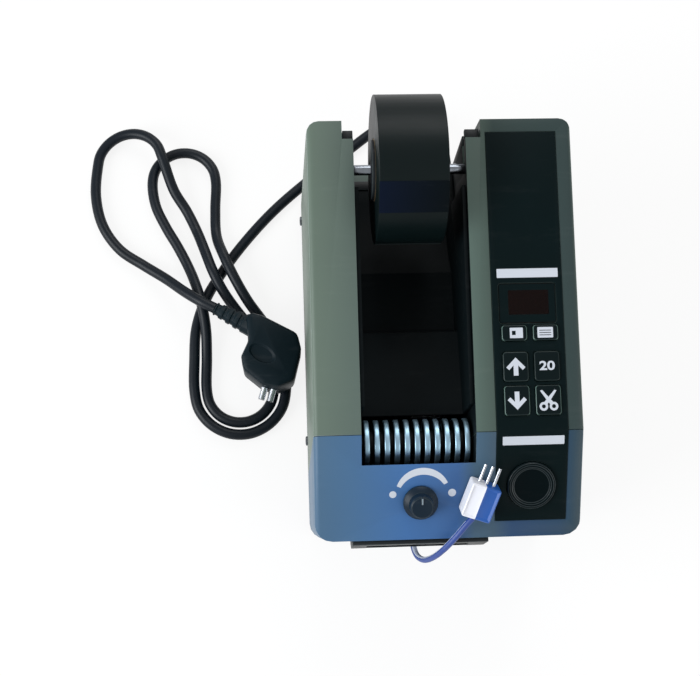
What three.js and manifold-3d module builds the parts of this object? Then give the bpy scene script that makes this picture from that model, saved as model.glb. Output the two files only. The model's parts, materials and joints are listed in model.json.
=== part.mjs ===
// An electric tape dispenser for a shop counter, in millimetres, +Z up, +Y to the rear, +X to the right.
// The origin is on the surface that it stands on, under the middle of its length and width.
import * as THREE from "three";
import { mergeVertices } from "three/addons/utils/BufferGeometryUtils.js";
import Module from "manifold-3d";

const wasm = await Module();
wasm.setup();

// Driving dimensions of the body
const bodyWidth = 127;
const bodyLength = 212;
const bodyHeight = 145;
const leftBlock = 22.3;
const rightBlock = 51;
const rearLean = 16;
const lipReach = 1.8;
const lowerRun = 52.7;
const upperSlope = THREE.MathUtils.degToRad(8);
const lowerSlope = THREE.MathUtils.degToRad(28.4);
const frontUndercut = THREE.MathUtils.degToRad(6.5);
const wall = 2.5;
const cornerRear = 6;
const cornerFront = 8.5;
const topFillet = 2.4;

// Clearances and overruns
const gap = 0.3;
const slip = 0.3;
const seat = 0.02;
const overrun = 5;

// Control panel: margins to the right block's edges, and keys placed from the bend between the two faces
const panelInset = 9.6;
const panelMargin = 7.8;
const panelStart = 6.6;
const panelFrontMargin = 8.3;
const panelSink = 0.7;
const panelProud = 0.3;
const keyMarginLeft = 3.9;
const keyMarginRight = 2.9;
const keyBetween = 2.8;
const keyFromBend = 14.1;
const keyPitchRun = 15.9;
const smallKeyHigh = 7.4;
const largeKeyHigh = 14;
const keyProud = 0.9;
const keyTravel = 0.8;
const keyFlange = 1;
const keyFlangeReach = 0.6;
const keyCorner = 1.5;
const keyRound = 0.3;
const displayFromBend = 60.1;
const displayMargin = 3;
const displayHigh = 19.6;
const displayLedge = 2.6;
const displayThick = 0.5;
const buttonDiameter = 23.4;
const buttonMargin = 5.8;
const buttonProud = 1.6;
const buttonTravel = 1.8;
const buttonRim = 3.2;
const buttonDish = 0.9;

// Boards under the panel
const boardThick = 1.6;
const boardDrop = 3.2;
const boardInset = 1.6;
const boardPast = 3;
const studDiameter = 3.6;
const tactWide = 5.2;
const moduleInset = 3.2;
const switchBoardWide = 28;
const switchBoardLong = 30;
const plungerWide = 8;

// Speed knob on the front cover
const knobAside = 0.85;
const knobFromFront = 18.8;
const knobDiameter = 16.6;
const knobCap = 11.8;
const knobHeight = 8;
const knobSkirt = 2.6;
const knobEdge = 1;
const pointerWide = 1;
const pointerLong = 2.4;
const pointerProud = 0.4;
const potDiameter = 11;
const potDepth = 5;
const potShaft = 5;
const potEdge = 0.6;

// Roll of tape on its rod
const rodDiameter = 5;
const rodRun = 22.2;
const rodDepth = 8;
const rodEnd = 3.2;
const rollDiameter = 72;
const rollPlay = 21.5;
const rollAside = 0.85;
const coreDiameter = 30;
const coreWall = 1.9;
const hubLengthShare = 0.37;
const hubFlange = 1.6;
const hubRim = 0.4;
const hubWall = 1.6;
const hubWeb = 1.4;
const hubBoss = 2.2;
const tapeThick = 0.6;

// Feed roller and its gears
const rollerDrop = 20.2;
const rollerAhead = 0.65;
const ringDiameter = 22;
const ringThick = 2.6;
const ringPitch = 4.77;
const ringFirst = 1.9;
const ringLast = 1.5;
const sleeveDiameter = 10.4;
const sleeveEnd = 0.7;
const feedShaftDiameter = 6;
const shaftEnd = 1.2;
const shaftTip = 0.6;
const gearModule = 1;
const gearThick = 5;
const gearGap = 1.5;
const gearEnd = 1;
const feedTeeth = 24;
const idlerTeeth = 20;
const pinionTeeth = 12;
const idlerAngle = THREE.MathUtils.degToRad(20);
const axleDiameter = 4;
const pinchDiameter = 8;
const pinchPinDiameter = 3;
const pinchAngle = THREE.MathUtils.degToRad(10);
const coverLap = 15;

// Chute under the roller
const pathBelowRings = 7.02;
const chuteThick = 1.5;
const chuteGap = 1.2;
const chuteRear = 8.5;
const chuteKnee = 6;
const chuteFall = 0.8;
const chuteLip = 4.2;
const chuteLipRise = 0.4;
const chuteTabFront = 6;
const chuteTabRear = 0.4;
const fingerGap = 0.435;

// Cutter
const bladePivotAhead = 17.5;
const bladeThick = 1.5;
const bladeHigh = 12;
const bladeRadius = 15.5;
const bladeBevel = 1.6;
const bladeSeatShare = 0.73;
const bladeRise = 1.5;
const fixedBevel = 2.4;
const bladeRest = THREE.MathUtils.degToRad(13);
const carrierPinDiameter = 4;
const carrierPinEnd = 0.8;
const carrierHub = 4;
const armThick = 2.2;
const armGap = 0.4;
const armTip = 1;
const armEndHigh = 0.9;
const barDrop = 2.6;
const barStart = 2.4;
const sectorTeeth = 48;
const sectorStart = THREE.MathUtils.degToRad(-122);
const sectorSpan = THREE.MathUtils.degToRad(54);
const sectorBoss = 5;
const cutterPinionTeeth = 12;
const cutterPinionAngle = THREE.MathUtils.degToRad(5);

// Inner plates, motors and supply
const plateThick = 2;
const plateGap = 0.5;
const plateHead = 12;
const plateShoulder = 14;
const plateNose = 13.5;
const plateChin = 2;
const plateThroat = 16;
const plateStep = 6;
const plateMargin = 7.1;
const plateLip = 0.35;
const plateHole = 28;
const plateHoleLift = 10;
const bracketHead = 8;
const feedMotorDiameter = 28;
const cutterMotorDiameter = 24;
const motorRoom = 4;
const motorEdge = 1;
const motorShaftDiameter = 3;
const boardLift = 9;
const boardRoom = 3;
const boardSideRoom = 1.5;
const boardRearRoom = 14;
const pillarWide = 4;
const capacitorDiameter = 10;
const capacitorHigh = 20;
const chipHigh = 6;
const relayHigh = 15;
const supplyInset = 5;
const supplyLong = 66;
const supplyHigh = 36;
const supplyBehind = 7.6;

// Base and feet
const baseThick = 1.5;
const baseLift = 3;
const ventCount = 8;
const ventPitch = 7;
const ventLong = 28;
const footDiameter = 14;
const footEdge = 1;
const footInset = 16;
const footRear = 18;
const footFront = 32;

// Tub under the roll
const tubWall = 1.8;
const tubRollRoom = 25;
const tubRestShare = 0.61;
const tubStepShare = 0.554;
const tubDeckDrop = 9;
const tubFrontDrop = 6.4;
const tubRollerGap = 3.4;

// Rear side
const gateRise = 0.7;
const postTop = 3.2;
const postWidthLeft = 5;
const postWidthRight = 7;
const postFromRear = 3.6;
const postDeep = 4.8;
const padRound = 1;
const rearCoverTop = 48;
const switchAside = 19.2;
const switchZ = 28;
const switchWall = 1.5;
const switchDeep = 11.5;
const switchProud = 1.2;
const rockerWide = 13;
const rockerHigh = 19;
const rockerDeep = 3;
const rockerSink = 3;

// Outlet at the front, and the hole for the sensor's lead below it
const outletHigh = 11;
const guardMargin = 4.3;
const guardHigh = 22;
const guardDrop = 1.7;
const leadAside = 0.35;
const leadBelow = 4.46;

// Cords, their plugs and the gland
const cordDiameter = 6;
const cordSides = 10;
const cordStep = 13.3;
const leadDiameter = 3;
const leadSides = 8;
const leadStep = 4;
const glandAside = 7.5;
const glandZ = 12;
const glandLength = 20;
const glandNeck = 9.2;
const glandFlange = 14;
const glandFlangeThick = 2;
const glandCollar = 1;
const glandRoot = 10.8;
const glandTip = 8.2;
const plugMid = 18.3;
const plugThick = 21.2;
const plugRound = 2.5;
const gripLong = 17;
const gripWide = 10;
const gripDeep = 1.2;
const reliefLength = 19;
const reliefRoot = 11.2;
const reliefTip = 7.6;
const reliefRibs = 4;
const reliefRibDeep = 0.7;
const reliefSink = 5;
const pinLong = 7.5;
const pinDiameter = 3.6;
const pinSpread = 4.8;
const leadPlugWide = 14.2;
const leadPlugLong = 16.8;
const leadPlugHigh = 10;
const leadPlugRound = 1;
const leadPlugLift = 0.6;
const leadPlugAside = 1.3;
const leadPlugRun = 31.5;
const leadPlugTurn = THREE.MathUtils.degToRad(-19.8);
const leadPinDiameter = 1.6;
const leadPinLong = 9;
const leadPinPitch = 3.6;

// Places that follow from these sizes
const sideX = bodyWidth / 2;
const channelLeft = leftBlock - sideX;
const channelRight = sideX - rightBlock;
const channelWidth = channelRight - channelLeft;
const channelMid = (channelLeft + channelRight) / 2;
const rearTopY = bodyLength / 2 - rearLean;
const frontY = lipReach - bodyLength / 2;
const bendY = frontY + lowerRun * Math.cos(lowerSlope);
const bendZ = bodyHeight - Math.tan(upperSlope) * (rearTopY - bendY);
const frontZ = bendZ - lowerRun * Math.sin(lowerSlope);
const upperRun = (rearTopY - bendY) / Math.cos(upperSlope);
const panelLeft = channelRight + panelInset;
const panelRight = sideX - panelMargin;
const panelMid = (panelLeft + panelRight) / 2;
const panelEnd = lowerRun - panelFrontMargin;
const baseTop = baseLift + baseThick;
const rearTilt = Math.atan(rearLean / (bodyHeight - baseLift));
const wallFrontY = (z) => frontY + (frontZ - z) * Math.tan(frontUndercut);
const wallRearY = (z) => bodyLength / 2 - (z - baseLift) * Math.tan(rearTilt);
const topZ = (y) => bendZ + (y - bendY) * Math.tan(y > bendY ? upperSlope : lowerSlope);
const coverY = bendY - coverLap * Math.cos(lowerSlope);
const everywhere = bodyLength * 2;

// Frames of the two sloping faces: X across, Y up the slope, Z square to the face
const upperFrame = new THREE.Matrix4().makeRotationX(upperSlope).setPosition(0, rearTopY, bodyHeight);
const lowerFrame = new THREE.Matrix4().makeRotationX(lowerSlope).setPosition(0, bendY, bendZ);

// Solids: cutting and joining
function solidOf(geometry) {
  const plain = geometry.clone();
  plain.deleteAttribute("normal");
  plain.deleteAttribute("uv");
  const merged = mergeVertices(plain, 1e-4);
  const mesh = new wasm.Mesh({
    numProp: 3,
    vertProperties: new Float32Array(merged.attributes.position.array),
    triVerts: new Uint32Array(merged.index.array),
  });
  return new wasm.Manifold(mesh);
}

function geometryOf(solid) {
  const mesh = solid.getMesh();
  const geometry = new THREE.BufferGeometry();
  geometry.setAttribute("position", new THREE.BufferAttribute(mesh.vertProperties, 3));
  geometry.setIndex(new THREE.BufferAttribute(mesh.triVerts, 1));
  return geometry;
}

function combine(how, first, others) {
  let solid = solidOf(first);
  for (const other of others) {
    solid = solid[how](solidOf(other));
  }
  return geometryOf(solid);
}

const cut = (first, ...others) => combine("subtract", first, others);
const join = (first, ...others) => combine("add", first, others);
const common = (first, ...others) => combine("intersect", first, others);

// Outlines
function shapeOf(points) {
  return new THREE.Shape(points.map(([u, v]) => new THREE.Vector2(u, v)));
}

// An outline with round corners: each corner is u, v and its radius
function roundOutline(corners, steps = 3) {
  const points = [];
  corners.forEach(([u, v, radius], i) => {
    if (!radius) {
      points.push([u, v]);
      return;
    }
    const before = corners[(i + corners.length - 1) % corners.length];
    const after = corners[(i + 1) % corners.length];
    const here = new THREE.Vector2(u, v);
    const toBefore = new THREE.Vector2(before[0], before[1]).sub(here).normalize();
    const toAfter = new THREE.Vector2(after[0], after[1]).sub(here).normalize();
    const half = Math.acos(THREE.MathUtils.clamp(toBefore.dot(toAfter), -1, 1)) / 2;
    const reach = radius / Math.tan(half);
    const middle = here.clone().addScaledVector(toBefore.clone().add(toAfter).normalize(), radius / Math.sin(half));
    const start = here.clone().addScaledVector(toBefore, reach).sub(middle);
    const end = here.clone().addScaledVector(toAfter, reach).sub(middle);
    const turn = Math.atan2(start.cross(end), start.dot(end));
    for (let k = 0; k <= steps; k++) {
      const spot = start.clone().rotateAround(new THREE.Vector2(), (turn * k) / steps).add(middle);
      points.push([spot.x, spot.y]);
    }
  });
  return points;
}

function rectangle(u0, u1, v0, v1, radius = 0) {
  return roundOutline([[u0, v0, radius], [u1, v0, radius], [u1, v1, radius], [u0, v1, radius]]);
}

function circle(u, v, radius, sides = 24) {
  return Array.from({ length: sides }, (_, i) => {
    const angle = (2 * Math.PI * i) / sides;
    return [u + radius * Math.cos(angle), v + radius * Math.sin(angle)];
  });
}

// A sheet of even thickness along a path of points, its second side on the left of the path
function ribbon(path, thickness) {
  const spots = path.map(([u, v]) => new THREE.Vector2(u, v));
  const sides = spots.map((spot, i) => {
    const back = i > 0 ? spot.clone().sub(spots[i - 1]).normalize() : null;
    const ahead = i < spots.length - 1 ? spots[i + 1].clone().sub(spot).normalize() : null;
    const along = (back ?? ahead).clone().add(ahead ?? back).normalize();
    const shrink = (ahead ?? back).dot(along);
    const normal = new THREE.Vector2(-along.y, along.x);
    return spot.clone().addScaledVector(normal, thickness / shrink);
  });
  return [...spots, ...sides.reverse()].map((spot) => [spot.x, spot.y]);
}

// Extrusions along the three axes
const toX = new THREE.Matrix4().makeBasis(
  new THREE.Vector3(0, 1, 0),
  new THREE.Vector3(0, 0, 1),
  new THREE.Vector3(1, 0, 0),
);
const toY = new THREE.Matrix4().makeBasis(
  new THREE.Vector3(1, 0, 0),
  new THREE.Vector3(0, 0, 1),
  new THREE.Vector3(0, -1, 0),
);

function extrude(outline, depth, holes = [], bevel = 0, bevelSteps = 2) {
  const shape = shapeOf(outline);
  shape.holes = holes.map((hole) => new THREE.Path(shapeOf(hole).getPoints()));
  const options = { depth: depth - 2 * bevel, bevelEnabled: bevel > 0 };
  if (bevel > 0) {
    Object.assign(options, {
      bevelThickness: bevel,
      bevelSize: bevel,
      bevelOffset: -bevel,
      bevelSegments: bevelSteps,
    });
  }
  return new THREE.ExtrudeGeometry(shape, options).translate(0, 0, bevel);
}

const alongX = (outline, x0, x1, holes, bevel, steps) =>
  extrude(outline, x1 - x0, holes, bevel, steps).translate(0, 0, x0).applyMatrix4(toX);
const alongY = (outline, y0, y1, holes, bevel, steps) =>
  extrude(outline, y1 - y0, holes, bevel, steps).translate(0, 0, -y1).applyMatrix4(toY);
const alongZ = (outline, z0, z1, holes, bevel, steps) =>
  extrude(outline, z1 - z0, holes, bevel, steps).translate(0, 0, z0);

function block(x0, x1, y0, y1, z0, z1) {
  const box = new THREE.BoxGeometry(x1 - x0, y1 - y0, z1 - z0);
  return box.translate((x0 + x1) / 2, (y0 + y1) / 2, (z0 + z1) / 2);
}

// A turned piece about an axis along X: each profile point is a radius and an x, closed on the axis or on itself
function turned(profile, sides = 24) {
  const points = profile.map(([radius, x]) => new THREE.Vector2(radius, x));
  const onAxis = new THREE.Matrix4().makeBasis(
    new THREE.Vector3(0, 1, 0),
    new THREE.Vector3(1, 0, 0),
    new THREE.Vector3(0, 0, -1),
  );
  return new THREE.LatheGeometry(points, sides).applyMatrix4(onAxis);
}

// A turned piece about an upright axis
function turnedUp(profile, sides = 24) {
  const points = profile.map(([radius, z]) => new THREE.Vector2(radius, z));
  return new THREE.LatheGeometry(points, sides).rotateX(Math.PI / 2);
}

const rodX = (radius, x0, x1, sides = 20) => turned([[0, x0], [radius, x0], [radius, x1], [0, x1]], sides);

function tubeX(outer, inner, x0, x1, sides = 24) {
  return turned([[inner, x0], [outer, x0], [outer, x1], [inner, x1], [inner, x0]], sides);
}

const at = (geometry, y, z, x = 0) => geometry.translate(x, y, z);

// A closed solid between two outlines with the same number of points, at two heights
function loft(low, lowZ, high, highZ) {
  const count = low.length;
  const positions = [...low.map(([u, v]) => [u, v, lowZ]), ...high.map(([u, v]) => [u, v, highZ])].flat();
  const cap = THREE.ShapeUtils.triangulateShape(low.map(([u, v]) => new THREE.Vector2(u, v)), []);
  const index = [];
  for (const [a, b, c] of cap) {
    index.push(c, b, a, a + count, b + count, c + count);
  }
  for (let i = 0; i < count; i++) {
    const next = (i + 1) % count;
    index.push(i, next, next + count, i, next + count, i + count);
  }
  const geometry = new THREE.BufferGeometry();
  geometry.setAttribute("position", new THREE.Float32BufferAttribute(positions, 3));
  geometry.setIndex(index);
  return geometry;
}

// A spur gear's outline: straight flanks, a rounded count of teeth, its first tooth at the phase angle
function gearOutline(teeth, phase) {
  const pitchRadius = (gearModule * teeth) / 2;
  const rootShare = 1.2;
  const tipShare = 0.9;
  const halfShares = [[-rootShare, 0.36], [0, 0.215], [tipShare, 0.11]];
  const step = (2 * Math.PI) / teeth;
  const points = [];
  for (let i = 0; i < teeth; i++) {
    const middle = phase + i * step;
    const flank = (sign) => ([rise, half]) => {
      const angle = middle + sign * half * step;
      const radius = pitchRadius + rise * gearModule;
      return [radius * Math.cos(angle), radius * Math.sin(angle)];
    };
    points.push(...halfShares.map(flank(-1)), ...[...halfShares].reverse().map(flank(1)));
  }
  return points;
}

// The body's form, drawn in by an inset on every face
function bodyForm(inset) {
  const ceiling = bodyHeight + overrun;
  const floor = -overrun;
  const planAt = (z) => {
    const front = wallFrontY(z) + inset / Math.cos(frontUndercut);
    const rear = wallRearY(z) - inset / Math.cos(rearTilt);
    const side = sideX - inset;
    const frontRadius = Math.max(cornerFront - inset, gap);
    const rearRadius = Math.max(cornerRear - inset, gap);
    return roundOutline([
      [-side, front, frontRadius],
      [side, front, frontRadius],
      [side, rear, rearRadius],
      [-side, rear, rearRadius],
    ], 4);
  };
  const tower = loft(planAt(floor), floor, planAt(ceiling), ceiling);
  const drop = (slope) => inset / Math.cos(slope);
  const turnY = bendY + (drop(lowerSlope) - drop(upperSlope)) / (Math.tan(lowerSlope) - Math.tan(upperSlope));
  const farFront = -bodyLength;
  const farRear = bodyLength;
  const roofOutline = [
    [farRear, -bodyHeight],
    [farRear, bendZ + (farRear - bendY) * Math.tan(upperSlope) - drop(upperSlope)],
    [turnY, bendZ + (turnY - bendY) * Math.tan(upperSlope) - drop(upperSlope)],
    [farFront, bendZ + (farFront - bendY) * Math.tan(lowerSlope) - drop(lowerSlope)],
    [farFront, -bodyHeight],
  ];
  const side = sideX - inset;
  const roof = alongX(roofOutline.reverse(), -side, side, [], Math.max(topFillet - inset, 0), 3);
  return common(tower, roof);
}

// A strip that follows both sloping faces, from a run on the upper one to a run on the lower one
function skinOutline(upperFrom, lowerTo, top, bottom) {
  const along = (run, slope, startY, startZ, depth) => [
    startY - run * Math.cos(slope) + depth * Math.sin(slope),
    startZ - run * Math.sin(slope) - depth * Math.cos(slope),
  ];
  const bendAt = (depth) => {
    const drop = (slope) => depth / Math.cos(slope);
    const y = bendY + (drop(lowerSlope) - drop(upperSlope)) / (Math.tan(lowerSlope) - Math.tan(upperSlope));
    return [y, bendZ + (y - bendY) * Math.tan(upperSlope) - drop(upperSlope)];
  };
  return [
    along(upperFrom, upperSlope, rearTopY, bodyHeight, top),
    bendAt(top),
    along(lowerTo, lowerSlope, bendY, bendZ, top),
    along(lowerTo, lowerSlope, bendY, bendZ, bottom),
    bendAt(bottom),
    along(upperFrom, upperSlope, rearTopY, bodyHeight, bottom),
  ];
}

// Places of the shafts, each as a y and a z
const rod = {
  y: rearTopY - rodRun * Math.cos(upperSlope) + rodDepth * Math.sin(upperSlope),
  z: bodyHeight - rodRun * Math.sin(upperSlope) - rodDepth * Math.cos(upperSlope),
};
const roller = { y: bendY - rollerAhead, z: bendZ - rollerDrop };
const mesh = (a, b) => (gearModule * (a + b)) / 2;
const idler = {
  y: roller.y + mesh(feedTeeth, idlerTeeth) * Math.sin(idlerAngle),
  z: roller.z - mesh(feedTeeth, idlerTeeth) * Math.cos(idlerAngle),
};
const pinion = { y: idler.y, z: idler.z - mesh(idlerTeeth, pinionTeeth) };
const pinchReach = (ringDiameter + pinchDiameter) / 2 + slip;
const pinch = {
  y: roller.y - pinchReach * Math.cos(pinchAngle),
  z: roller.z + pinchReach * Math.sin(pinchAngle),
};
const pathHeight = roller.z - ringDiameter / 2 - pathBelowRings;
const pivot = { y: roller.y - bladePivotAhead, z: pathHeight + gearModule };
const cutterPinion = {
  y: pivot.y - mesh(sectorTeeth, cutterPinionTeeth) * Math.sin(cutterPinionAngle),
  z: pivot.z - mesh(sectorTeeth, cutterPinionTeeth) * Math.cos(cutterPinionAngle),
};

// Places across the body, from the channel outwards: rings, plates, gears and motors
const ringSpan = channelWidth - ringFirst - ringLast - ringThick;
const ringCount = Math.round(ringSpan / ringPitch) + 1;
const ringStep = ringSpan / (ringCount - 1);
const rollerLeft = channelLeft + ringFirst;
const rollerRight = channelRight - ringLast;
const plateLeft = channelLeft - wall - plateGap;
const plateRight = channelRight + wall + plateGap;
const gearX = plateRight + plateThick + gearGap;
const bracketX = gearX + gearThick + gearEnd;
const motorX = bracketX + plateThick;
const motorLength = sideX - wall - motorRoom - motorX;

// Places along the body
const postRear = rearTopY - postFromRear;
const postFront = postRear - postDeep;
const tubRadius = rollDiameter / 2 + tubRollRoom;
const tubRearZ = rod.z - Math.sqrt(tubRadius ** 2 - (postFront - rod.y) ** 2);
const gateZ = tubRearZ + gateRise;
const bladeFrontY = pivot.y - bladeRadius - gap - bladeThick;
const plateFront = bladeFrontY - plateLip;
const plateRear = pinion.y + feedMotorDiameter / 2 + plateMargin;
const guardTop = frontZ - guardDrop;
const guardLow = guardTop - guardHigh;
const leadPlace = { x: channelMid + leadAside, z: guardLow - leadBelow };
const glandX = channelRight + glandAside;
const switchX = channelLeft + switchAside;

// Keys and display on the upper face, button and knob on the lower one: each an x and a run down the slope
const panelWidth = panelRight - panelLeft;
const keyWide = (panelWidth - keyMarginLeft - keyMarginRight - keyBetween) / 2;
const keyX = (column) => panelLeft + keyMarginLeft + keyWide / 2 + column * (keyWide + keyBetween);
const keyRun = (row) => upperRun - keyFromBend - row * keyPitchRun;
const keys = [
  { name: "key_stop_left", x: keyX(0), run: keyRun(2), high: smallKeyHigh },
  { name: "key_stop_right", x: keyX(1), run: keyRun(2), high: smallKeyHigh },
  { name: "key_length_up", x: keyX(0), run: keyRun(1), high: largeKeyHigh },
  { name: "key_preset", x: keyX(1), run: keyRun(1), high: largeKeyHigh },
  { name: "key_length_down", x: keyX(0), run: keyRun(0), high: largeKeyHigh },
  { name: "key_cut", x: keyX(1), run: keyRun(0), high: largeKeyHigh },
];
const displayRun = upperRun - displayFromBend;
const displayWide = panelWidth - 2 * displayMargin;
const buttonRun = panelEnd - buttonMargin - buttonDiameter / 2;
const knobX = channelMid + knobAside;
const knobRun = lowerRun - knobFromFront;
const keyBottom = wall + gap + keyFlange + keyTravel;
const boardTop = -keyBottom - boardDrop;

// Openings through the panel and the wall under it
function keyOutline(key, spare, radius = keyCorner) {
  const half = keyWide / 2 + spare;
  const high = key.high / 2 + spare;
  return rectangle(key.x - half, key.x + half, -key.run - high, -key.run + high, radius);
}

const keyHole = (key) => alongZ(keyOutline(key, slip), -wall - overrun, overrun).applyMatrix4(upperFrame);

function displayOutline(spare) {
  const half = displayWide / 2 + spare;
  const high = displayHigh / 2 + spare;
  return rectangle(panelMid - half, panelMid + half, -displayRun - high, -displayRun + high, keyCorner);
}

const displayHole = (spare) => alongZ(displayOutline(spare), -wall - overrun, overrun).applyMatrix4(upperFrame);

const buttonHole = () =>
  alongZ(circle(panelMid, -buttonRun, buttonDiameter / 2 + slip, 32), -wall - overrun, overrun)
    .applyMatrix4(lowerFrame);

const panelRecess = () =>
  alongX(
    skinOutline(panelStart - slip, panelEnd + slip, -overrun, panelSink + seat),
    panelLeft - slip,
    panelRight + slip,
  );

// The slot that the rod slides in from the rear, parallel to the upper face
function rodSlot() {
  const radius = rodDiameter / 2 + slip;
  const steps = 8;
  const end = Array.from({ length: steps + 1 }, (_, i) => {
    const angle = Math.PI / 2 + (Math.PI * i) / steps;
    return [-rodRun + radius * Math.cos(angle), -rodDepth + radius * Math.sin(angle)];
  });
  const reach = rodEnd + slip;
  const outline = [...end, [rearLean, -rodDepth - radius], [rearLean, -rodDepth + radius]];
  return alongX(outline, channelLeft - reach, channelRight + reach).applyMatrix4(upperFrame);
}

const shaftHole = (place, diameter, x0, x1) =>
  at(rodX(diameter / 2 + slip, x0 - overrun, x1 + overrun, 20), place.y, place.z);

// Housings: two hollow blocks behind the bend, open below, each with its inner wall along the channel
function housing(side) {
  const left = side < 0;
  const inner = left ? channelLeft : channelRight;
  const postWidth = left ? postWidthLeft : postWidthRight;
  const span = (near, far) => {
    const ends = [inner + side * near, inner + side * far];
    return [Math.min(...ends), Math.max(...ends)];
  };
  const partY = bendY + gap / 2;
  const outer = common(bodyForm(0), block(...span(0, everywhere), partY, everywhere, baseTop, everywhere));
  const room = block(...span(wall, everywhere), -everywhere, everywhere, -overrun, everywhere);
  const pad = alongX(
    rectangle(-rodRun - rodDiameter, -postFromRear - postDeep, -rodDepth - rodDiameter, -wall + gap, padRound),
    ...span(wall - gap, 2 * wall),
  ).applyMatrix4(upperFrame);
  const jamb = postWidth + gap;
  const ledgeZ = rearCoverTop - wall;
  const frame = join(
    block(...span(jamb, jamb + wall), postFront - wall, everywhere, ledgeZ, everywhere),
    block(...span(wall / 2, jamb + wall), postFront - wall, everywhere, ledgeZ, rearCoverTop),
  );
  const shell = join(
    cut(outer, common(bodyForm(wall), room)),
    common(pad, bodyForm(gap)),
    common(bodyForm(0), frame),
  );
  const notch = block(...span(-overrun, jamb), postFront - gap, everywhere, rearCoverTop, everywhere);
  return cut(shell, notch, rodSlot(), shaftHole(roller, feedShaftDiameter, ...span(0, wall)));
}

function rightHousing() {
  const glandHole = alongY(
    circle(glandX, glandZ, glandNeck / 2 + slip),
    wallRearY(glandZ) - wall - overrun,
    bodyLength,
  );
  return cut(housing(1), panelRecess(), displayHole(-displayLedge), glandHole, ...keys.map(keyHole));
}

function outletSlot(spare) {
  return block(
    channelLeft + ringThick + spare,
    channelRight - ringThick / 2 - spare,
    -everywhere,
    frontY + cornerFront,
    pathHeight - outletHigh / 2 + spare,
    pathHeight + outletHigh / 2 - spare,
  );
}

function frontCover() {
  const partY = bendY - gap / 2;
  const outer = common(bodyForm(0), block(-everywhere, everywhere, -everywhere, partY, baseTop, everywhere));
  const low = roller.z - ringDiameter;
  const notch = block(channelLeft, channelRight, coverY, everywhere, low, everywhere);
  const cheek = (x0, x1) =>
    common(bodyForm(0), block(x0, x1, coverY - wall, partY, roller.z - ringDiameter / 2, everywhere));
  const shell = cut(outer, bodyForm(wall), notch);
  const knobHole = alongZ(circle(knobX, -knobRun, potShaft / 2 + slip, 24), -wall - overrun, overrun);
  const leadHole = alongY(
    circle(leadPlace.x, leadPlace.z, leadDiameter / 2 + slip, 12),
    -bodyLength,
    frontY + cornerFront,
  );
  return cut(
    join(shell, cheek(channelLeft - wall, channelLeft), cheek(channelRight, channelRight + wall)),
    panelRecess(),
    buttonHole(),
    outletSlot(0),
    leadHole,
    knobHole.applyMatrix4(lowerFrame),
    shaftHole(roller, feedShaftDiameter, channelLeft, channelRight),
    shaftHole(pinch, pinchPinDiameter, channelLeft, channelRight),
  );
}

// Outlet guard round the slot that the tape leaves by
function outletGuard() {
  const backY = (z) => wallFrontY(z) - seat;
  const section = [
    [backY(guardTop), guardTop],
    [-bodyLength / 2, guardTop],
    [-bodyLength / 2, guardLow + guardHigh / 4],
    [backY(guardLow) - lipReach, guardLow],
    [backY(guardLow), guardLow],
  ];
  return cut(alongX(section, channelLeft - guardMargin, channelRight + guardMargin + wall), outletSlot(gap));
}

// The black tub under the roll: a swept floor with side walls
function tapeTub() {
  const restY = rod.y - tubRestShare * tubRadius;
  const startAngle = Math.acos((postFront - rod.y) / tubRadius);
  const endAngle = Math.acos(-tubRestShare);
  const steps = 7;
  const arc = Array.from({ length: steps + 1 }, (_, i) => {
    const angle = startAngle + ((endAngle - startAngle) * i) / steps;
    return [rod.y + tubRadius * Math.cos(angle), rod.z - tubRadius * Math.sin(angle)];
  });
  const frontEdge = roller.y + ringDiameter / 2 + tubRollerGap;
  const stepY = frontEdge + tubStepShare * (restY - frontEdge);
  const path = [
    ...arc,
    [stepY + 2 * tubWall, arc[steps][1]],
    [stepY, roller.z - tubDeckDrop],
    [frontEdge, roller.z - tubFrontDrop],
  ];
  const left = channelLeft + gap;
  const right = channelRight - gap;
  const section = ribbon(path, tubWall);
  const underside = section.slice(path.length).reverse();
  const sideTop = (y) => topZ(y) - wall - gap;
  const sideRearZ = rod.z - rollDiameter / 2;
  const sideOutline = [
    ...underside,
    [frontEdge, sideTop(frontEdge)],
    [rod.y - 2 * rodDiameter, sideTop(rod.y - 2 * rodDiameter)],
    [rod.y - rodDiameter, sideRearZ],
    [postFront, sideRearZ],
  ];
  const tub = join(
    alongX(section, left, right),
    alongX(sideOutline, left, left + tubWall),
    alongX(sideOutline, right - tubWall, right),
  );
  return cut(tub, block(-everywhere, everywhere, postFront - seat, everywhere, 0, everywhere));
}

// The rear frame: a gate between two posts, which the rod's slot passes through
function rearFrame() {
  const outerLeft = channelLeft - postWidthLeft;
  const outerRight = channelRight + postWidthRight;
  const postZ = bodyHeight - postTop;
  const outline = [
    [outerLeft, rearCoverTop],
    [outerRight, rearCoverTop],
    [outerRight, postZ],
    [channelRight, postZ],
    [channelRight, gateZ],
    [channelLeft, gateZ],
    [channelLeft, postZ],
    [outerLeft, postZ],
  ];
  return cut(alongY(outline, postFront, postRear), rodSlot());
}

// The rear cover between the blocks, with a shelf on top and a hole for the power switch
function switchOutline(spare) {
  const half = rockerWide / 2 + gap + spare;
  const high = rockerHigh / 2 + gap + spare;
  return rectangle(switchX - half, switchX + half, switchZ - high, switchZ + high);
}

function rearCover() {
  const section = [
    [wallRearY(baseTop) - wall, baseTop],
    [wallRearY(baseTop), baseTop],
    [wallRearY(rearCoverTop), rearCoverTop],
    [postFront, rearCoverTop],
    [postFront, rearCoverTop - wall],
    [wallRearY(rearCoverTop - wall) - wall, rearCoverTop - wall],
  ];
  const hole = alongY(switchOutline(switchWall), postFront, bodyLength);
  return cut(alongX(section, channelLeft + gap, channelRight - gap), hole);
}

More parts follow.
